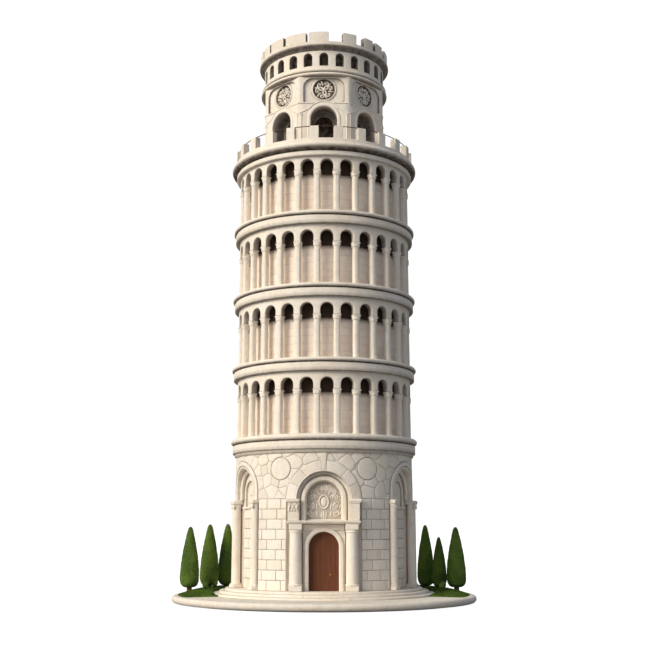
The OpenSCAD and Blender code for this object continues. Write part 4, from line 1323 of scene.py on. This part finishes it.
def build_crown(rng):
    node = "belfry_cornice"
    foot, top, r = low(node), high(node), reach(node)
    nose = 0.6
    profile = [(12, foot)] + arc(r - nose, foot + 0.62, nose, -90, 90, 8)
    profile += [(r - 1.3, foot + 1.34), (r - 1.32, foot + 1.52)]
    profile += arc(r - nose - 0.25, top - 0.62, nose, -90, 90, 8) + [(21.9, top), (12, top)]
    # Painted shade under the cornice's noses and in its groove.
    shade_and_joints = [0.9, 0.7, 0.6, 0.4, 0.2, 0.0, 0.0, 0.0, 0.0, 0.3, 0.95, 0.95, 0.6, 0.4, 0.2]
    turned_piece("belfry_cornice_ring", node, profile, shade_and_joints, angle=60)

    z0, z1 = low("window_band"), high("window_band")
    mesh = Mesh()
    # The window reveals darken to painted shade at their back.
    pierced_ring(mesh, 24, reach("window_band"), 19.2, z0, z1, 1.55, z0 + 1.2, z1 - 2.4, 0.16,
                 (0.3, 0.7, 1.0))
    mesh.build("window_ring", "window_band", angle=50)
    # A ring painted almost black behind the windows, where there is only shade.
    backing = [(17.5, z0), (19.3, z0), (19.3, (z0 + z1) / 2), (19.3, z1), (17.5, z1)]
    turned_piece("window_shade_backing", None, backing, 0.97, 128, slot="wall_stone")

    foot, top, nose = low("crown_cornice"), high("crown_cornice"), 0.75
    profile = [(21.25, foot), (22.2, foot), (22.45, foot + 0.35), (22.6, foot + 0.8)]
    profile += arc(reach("crown_cornice") - nose, top - nose, nose, -90, 90, 10) + [(21.25, top)]
    # Painted shade on the crown's underside, fading up its nose.
    shade_and_joints = [0.9, 0.88, 0.86, 0.84, 0.82, 0.8, 0.74, 0.62, 0.42, 0.2, 0.05]
    turned_piece("crown_ring", "crown_cornice", profile, shade_and_joints, angle=60)
    crown_parapet(rng)
    paving("roof_paving", high("roof_slab"), ((2.4, 8.4, 10), (8.4, 14.6, 18), (14.6, 21.1, 26)), rng)


def crown_parapet(rng):
    """A battlement whose gaps are slits on the left and wide on the right and behind."""
    lo, hi = mm_box("crown_parapet")
    foot, top, outer, inner, kerb = lo[2], hi[2], hi[0], 21.4, 0.42
    gaps = CROWN_GAPS + BACK_GAPS
    mesh = Mesh()
    lathe(mesh, fillet([(inner, foot), (outer, foot), (outer, foot + kerb), (inner, foot + kerb)], 0.1))
    for (a, wa), (b, wb) in zip(gaps, gaps[1:] + [(gaps[0][0] + 360, gaps[0][1])]):
        start, end = a + wa / 2, b - wb / 2
        half = math.radians(end - start) / 2 * outer
        mesh.tint_now = rng.uniform(-0.9, 0.9)
        drop = rng.uniform(0.0, 0.1)
        # The merlons' ends are painted dark as shade.
        soft_box(mesh, (-half, foot + 0.3, inner - outer), (half, top - drop, 0),
                 curved(outer, (start + end) / 2), 0.22, max(2, int(half)), 0.0, 0.8)
    mesh.build("crown_merlons", "crown_parapet")


# ---------------------------------------------------------------- garden

TREES = ("cypress_left_front", "cypress_left_middle", "cypress_left_back", "cypress_right_back",
         "cypress_right_middle", "cypress_right_front")
GOLDEN_TURN = 2.39996


def bezier(p, parts):
    """Points along a curve with four control points, without its end."""
    line = []
    for t in (i / parts for i in range(parts)):
        weights = ((1 - t) ** 3, 3 * (1 - t) ** 2 * t, 3 * (1 - t) * t * t, t ** 3)
        line.append(tuple(sum(w * q[i] for w, q in zip(weights, p)) for i in (0, 1)))
    return line


def cypress_outline():
    """A blunt foot, a full flank that narrows all the way up, and a small round tip."""
    return (bezier(((0.4, 0), (0.85, 0.01), (1, 0.07), (1, 0.16)), 8)
            + bezier(((1, 0.16), (1, 0.42), (0.54, 0.78), (0.3, 0.93)), 22)
            + bezier(((0.3, 0.93), (0.25, 0.97), (0.14, 1), (0, 1)), 6))


def build_tree(node, rng):
    lo, hi = mm_box(node)
    cx, cy = (lo[0] + hi[0]) / 2, (lo[1] + hi[1]) / 2
    w, foot, h = (hi[0] - lo[0]) / 2, lo[2], hi[2] - lo[2] - 0.1
    segments = 56
    phases = [rng.uniform(0, TAU) for _ in range(6)]
    outline = cypress_outline()

    def surface(a, t_r, t_z):
        lump = (math.sin(5 * a + phases[0] + 9 * t_z) * 0.35 + math.sin(9 * a + phases[1] - 17 * t_z) * 0.3
                + math.sin(3 * a + phases[2] + 26 * t_z) * 0.35)
        r = w * t_r * (0.975 + 0.02 * lump)
        return cx + r * math.cos(a), cy + r * math.sin(a), foot + h * t_z

    mesh = Mesh()
    # Painted shade: darker at the foot, and a little all over between the sprays.
    rings = [mesh.ring([surface(TAU * s / segments, t_r, t_z) for s in range(segments)],
                       0.55 if t_z < 0.05 else 0.25) for t_r, t_z in outline]
    mesh.loft(rings, caps=False)
    mesh.faces.append(rings[0][::-1])
    mesh.fan(rings[-1], (cx, cy, foot + h))
    mesh.build(f"{node}_body", node, "foliage", angle=80)

    sprays = Mesh()
    count = 1500
    for k in range(count):
        at = ((k + 0.5) / count) ** 1.25 * (len(outline) - 1)
        i = min(len(outline) - 2, int(at))
        t_r, t_z = (p + (q - p) * (at - i) for p, q in zip(outline[i], outline[i + 1]))
        a = k * GOLDEN_TURN + rng.uniform(-0.2, 0.2)
        spray(sprays, surface(a, t_r, t_z), a, rng, min(1.0, 0.3 + t_r))
    sprays.build(f"{node}_sprays", slot="foliage", angle=80, merge=False)


def spray(mesh, root, a, rng, size):
    """One tiny upswept tuft: a three-sided spike leaning out from the tree."""
    root = Vector(root)
    out = Vector((math.cos(a), math.sin(a), 0))
    side = Vector((-out.y, out.x, 0))
    up = (Vector((0, 0, 1)) + out * rng.uniform(0.12, 0.34) + side * rng.uniform(-0.3, 0.3)).normalized()
    r, length, limit = 0.2 * size, rng.uniform(0.45, 0.75) * size, 0.06
    base = root - out * 0.12
    tip = base + up * length
    tip -= out * max(0.0, (tip - root).dot(out) - limit)
    mesh.tint_now = rng.uniform(-1, 1)
    corners = [base + side * r, base - side * r, base + out * r * 1.1]
    # Painted shade at the tuft's root, fading along it.
    ring = mesh.ring([tuple(c) for c in corners], 0.35)
    mid = mesh.ring([tuple(c.lerp(tip, 0.55) + out * 0.03) for c in corners], 0.1)
    mesh.strip(ring, mid)
    mesh.fan(mid, tuple(tip))
    mesh.faces.append(ring[::-1])
    mesh.tint_now = 0.0


def build_lawn(rng):
    """A bank that rises towards the steps, planed off to a slope that falls to the front."""
    lo, hi = mm_box("lawn")
    outer, foot, inner = hi[0], lo[2], reach("steps") + 0.2
    edge_top = high("base_disc") - 0.1
    start, sweep = math.radians(66), math.radians(228)
    around, across = 260, 18

    def height(r, a):
        t = limits(0.0, (outer - r) / (outer - inner), 1.0)
        slope = edge_top + math.tan(math.radians(5)) * (21 - r * math.cos(a))
        return min(edge_top + (hi[2] - edge_top) * math.sin(math.radians(115 * t)), slope)

    mesh = Mesh()
    rings = []
    for i in range(around + 1):
        a = start + sweep * i / around
        line = [polar(inner, a, foot), polar(outer, a, foot)]
        for j in range(across + 1):
            r = outer - (outer - inner) * j / across
            ripple = 0.05 * (math.sin(r * 3.1 + a * 41) + math.sin(r * 1.7 - a * 67) - 1)
            line.append(polar(r, a, height(r, a) + ripple))
        # Painted shade along the outer rim and where the lawn meets the steps.
        rings.append(mesh.ring(line, [0.6, 0.6, 0.3] + [0.0] * (across - 1) + [0.3]))
    mesh.loft(rings)
    mesh.build("lawn_ground", "lawn", "lawn_flock", angle=60)

    blades = Mesh()
    for _ in range(26000):
        a = start + sweep * rng.random()
        r = math.sqrt(rng.uniform(inner * inner, outer * outer))
        blade(blades, Vector(polar(r, a, height(r, a) - 0.1)), rng, outer - 0.05)
    blades.build("lawn_blades", slot="lawn_flock", angle=80, merge=False)


def blade(mesh, base, rng, limit):
    """A short blade of flock, thick enough to be solid."""
    a = rng.uniform(0, TAU)
    side = Vector((math.cos(a), math.sin(a), 0)) * 0.06
    third = Vector((-side.y, side.x, 0))
    tip = base + Vector((rng.uniform(-0.18, 0.18), rng.uniform(-0.18, 0.18), rng.uniform(0.3, 0.5)))
    if math.hypot(tip.x, tip.y) > limit:
        tip = Vector((base.x, base.y, tip.z))
    mesh.tint_now = rng.uniform(-1, 1)
    # Painted shade at the blade's root.
    ring = mesh.ring([tuple(base + side), tuple(base - side), tuple(base + third)], 0.35)
    mesh.fan(ring, tuple(tip))
    mesh.faces.append(ring[::-1])
    mesh.tint_now = 0.0


def build_bushes(rng):
    """Four low bushes, each given by its place and its radius."""
    foot, levels, segments, tufts, core = 4.0, 14, 28, 420, 0.86
    mesh, leaves = Mesh(), Mesh()
    for x, y, r in ((-38.4, 9, 1.2), (-40.6, -1, 1.2), (41, 1, 1.2), (39.8, -6, 1.1)):
        cz = foot + 0.6 + r
        phase = rng.uniform(0, TAU)

        def spot(k, a, b):
            return x + k * math.sin(b) * math.cos(a), y + k * math.sin(b) * math.sin(a), cz - k * math.cos(b)

        rings = []
        for b in (math.pi * i / levels for i in range(1, levels)):
            swell = [(a, r * (core + 0.06 * math.sin(4 * a + phase + 3 * b) + 0.05 * math.sin(7 * a - 5 * b)))
                     for a in (TAU * s / segments for s in range(segments))]
            # Painted shade on the lower part of each bush.
            rings.append(mesh.ring([spot(k, a, b) for a, k in swell], 0.5 if len(rings) < 3 else 0.15))
        mesh.loft(rings)
        stem = [(0.5, 3.0), (0.42, 3.8), (0.4, cz - r * 0.6)]
        # The stem is painted dark as shade.
        turned(mesh, lambda a, b, z: (x + a, y + b, z), stem, 10, 2.0, 0.8)
        for _ in range(tufts):
            a, b = rng.uniform(0, TAU), math.acos(rng.uniform(-0.9, 1))
            spray(leaves, spot(r * core, a, math.pi - b), a, rng, 0.5)
    mesh.build("bush_bodies", "bushes", "foliage", angle=80)
    leaves.build("bush_leaves", slot="foliage", angle=80, merge=False)


# ---------------------------------------------------------------- finish on what stays from CAD

def dress_cad():
    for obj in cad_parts.values():
        for place in obj.material_slots:
            place.material = FINISHES[place.material.name.split(".")[0]]


# ---------------------------------------------------------------- stage

def sun(name, azimuth, elevation, strength, colour, softness):
    """A lamp at an azimuth (0 in front, positive to the right) and an elevation."""
    data = bpy.data.lights.new(name, "SUN")
    data.energy = strength
    data.color = colour
    data.angle = math.radians(softness)
    obj = bpy.data.objects.new(name, data)
    bpy.context.scene.collection.objects.link(obj)
    a, e = math.radians(azimuth), math.radians(elevation)
    toward = Vector((-math.sin(a) * math.cos(e), math.cos(a) * math.cos(e), -math.sin(e)))
    obj.rotation_euler = toward.to_track_quat("-Z", "Y").to_euler()


def shader(tree, kind, **inputs):
    """Adds a node with constants in its sockets."""
    made = tree.nodes.new(kind)
    for key, value in inputs.items():
        made.inputs[key].default_value = value
    return made


def seen_or_not(tree, unseen, seen, end):
    """One shader for what the camera sees, another for the light that it gives."""
    blend = tree.nodes.new("ShaderNodeMixShader")
    path = tree.nodes.new("ShaderNodeLightPath")
    tree.links.new(path.outputs["Is Camera Ray"], blend.inputs["Fac"])
    tree.links.new(unseen.outputs[0], blend.inputs[1])
    tree.links.new(seen.outputs[0], blend.inputs[2])
    tree.links.new(blend.outputs[0], end.inputs["Surface"])


def build_world(scene):
    world = bpy.data.worlds.new("studio")
    world.use_nodes = True
    scene.world = world
    tree = world.node_tree
    tree.nodes.clear()
    ambient = shader(tree, "ShaderNodeBackground", Color=(0.76, 0.89, 1.09, 1), Strength=0.285)
    backdrop = shader(tree, "ShaderNodeBackground", Color=(1, 1, 1, 1), Strength=1.05)
    seen_or_not(tree, ambient, backdrop, tree.nodes.new("ShaderNodeOutputWorld"))


def build_floor(scene):
    """A pale floor that looks white and takes the tower's shadow."""
    half = 6.0
    mesh = bpy.data.meshes.new("floor")
    corners = [(-half, -half, 0), (half, -half, 0), (half, half, 0), (-half, half, 0)]
    mesh.from_pydata(corners, [], [(0, 1, 2, 3)])
    floor = bpy.data.objects.new("floor", mesh)
    scene.collection.objects.link(floor)
    paper = bpy.data.materials.new("pale_floor")
    paper.use_nodes = True
    tree = paper.node_tree
    dull = tree.nodes["Principled BSDF"]
    dull.inputs["Base Color"].default_value = (0.31, 0.31, 0.31, 1)
    dull.inputs["Roughness"].default_value = 0.95
    glow = shader(tree, "ShaderNodeEmission", Strength=0.95)
    total = tree.nodes.new("ShaderNodeAddShader")
    tree.links.new(dull.outputs[0], total.inputs[0])
    tree.links.new(glow.outputs[0], total.inputs[1])
    seen_or_not(tree, dull, total, tree.nodes["Material Output"])
    mesh.materials.append(paper)


def build_stage():
    scene = bpy.context.scene
    scene.view_settings.view_transform = "Standard"
    data = bpy.data.cameras.new("camera")
    data.sensor_width = 36
    data.lens = 59.366
    data.clip_start = 0.01
    data.clip_end = 50
    camera = bpy.data.objects.new("camera", data)
    scene.collection.objects.link(camera)
    camera.location = (0.00035, -0.37818, 0.024)
    camera.rotation_euler = (math.radians(90) + 0.1896, 0, 0)
    scene.camera = camera
    build_world(scene)
    sun("key", -53, 26, 3.35, (1.0, 0.93, 0.80), 32)
    sun("fill", -5, 8, 0.36, (0.94, 0.95, 1.0), 60)
    sun("back", 165, 30, 0.5, (1.0, 0.96, 0.9), 40)
    build_floor(scene)


# ---------------------------------------------------------------- the whole model

build_stage()
dress_cad()
build_base()
build_ground(random.Random(3))
build_roundels()
build_portal(random.Random(5))
build_lunette()
build_bays(random.Random(7))
build_door(random.Random(11))
build_cornices()
for storey in range(1, 5):
    build_gallery(storey, random.Random(100 + storey))
build_terrace(random.Random(13))
build_belfry()
build_crown(random.Random(17))
for tree_index, tree_node in enumerate(TREES):
    build_tree(tree_node, random.Random(40 + tree_index))
build_lawn(random.Random(9))
build_bushes(random.Random(21))
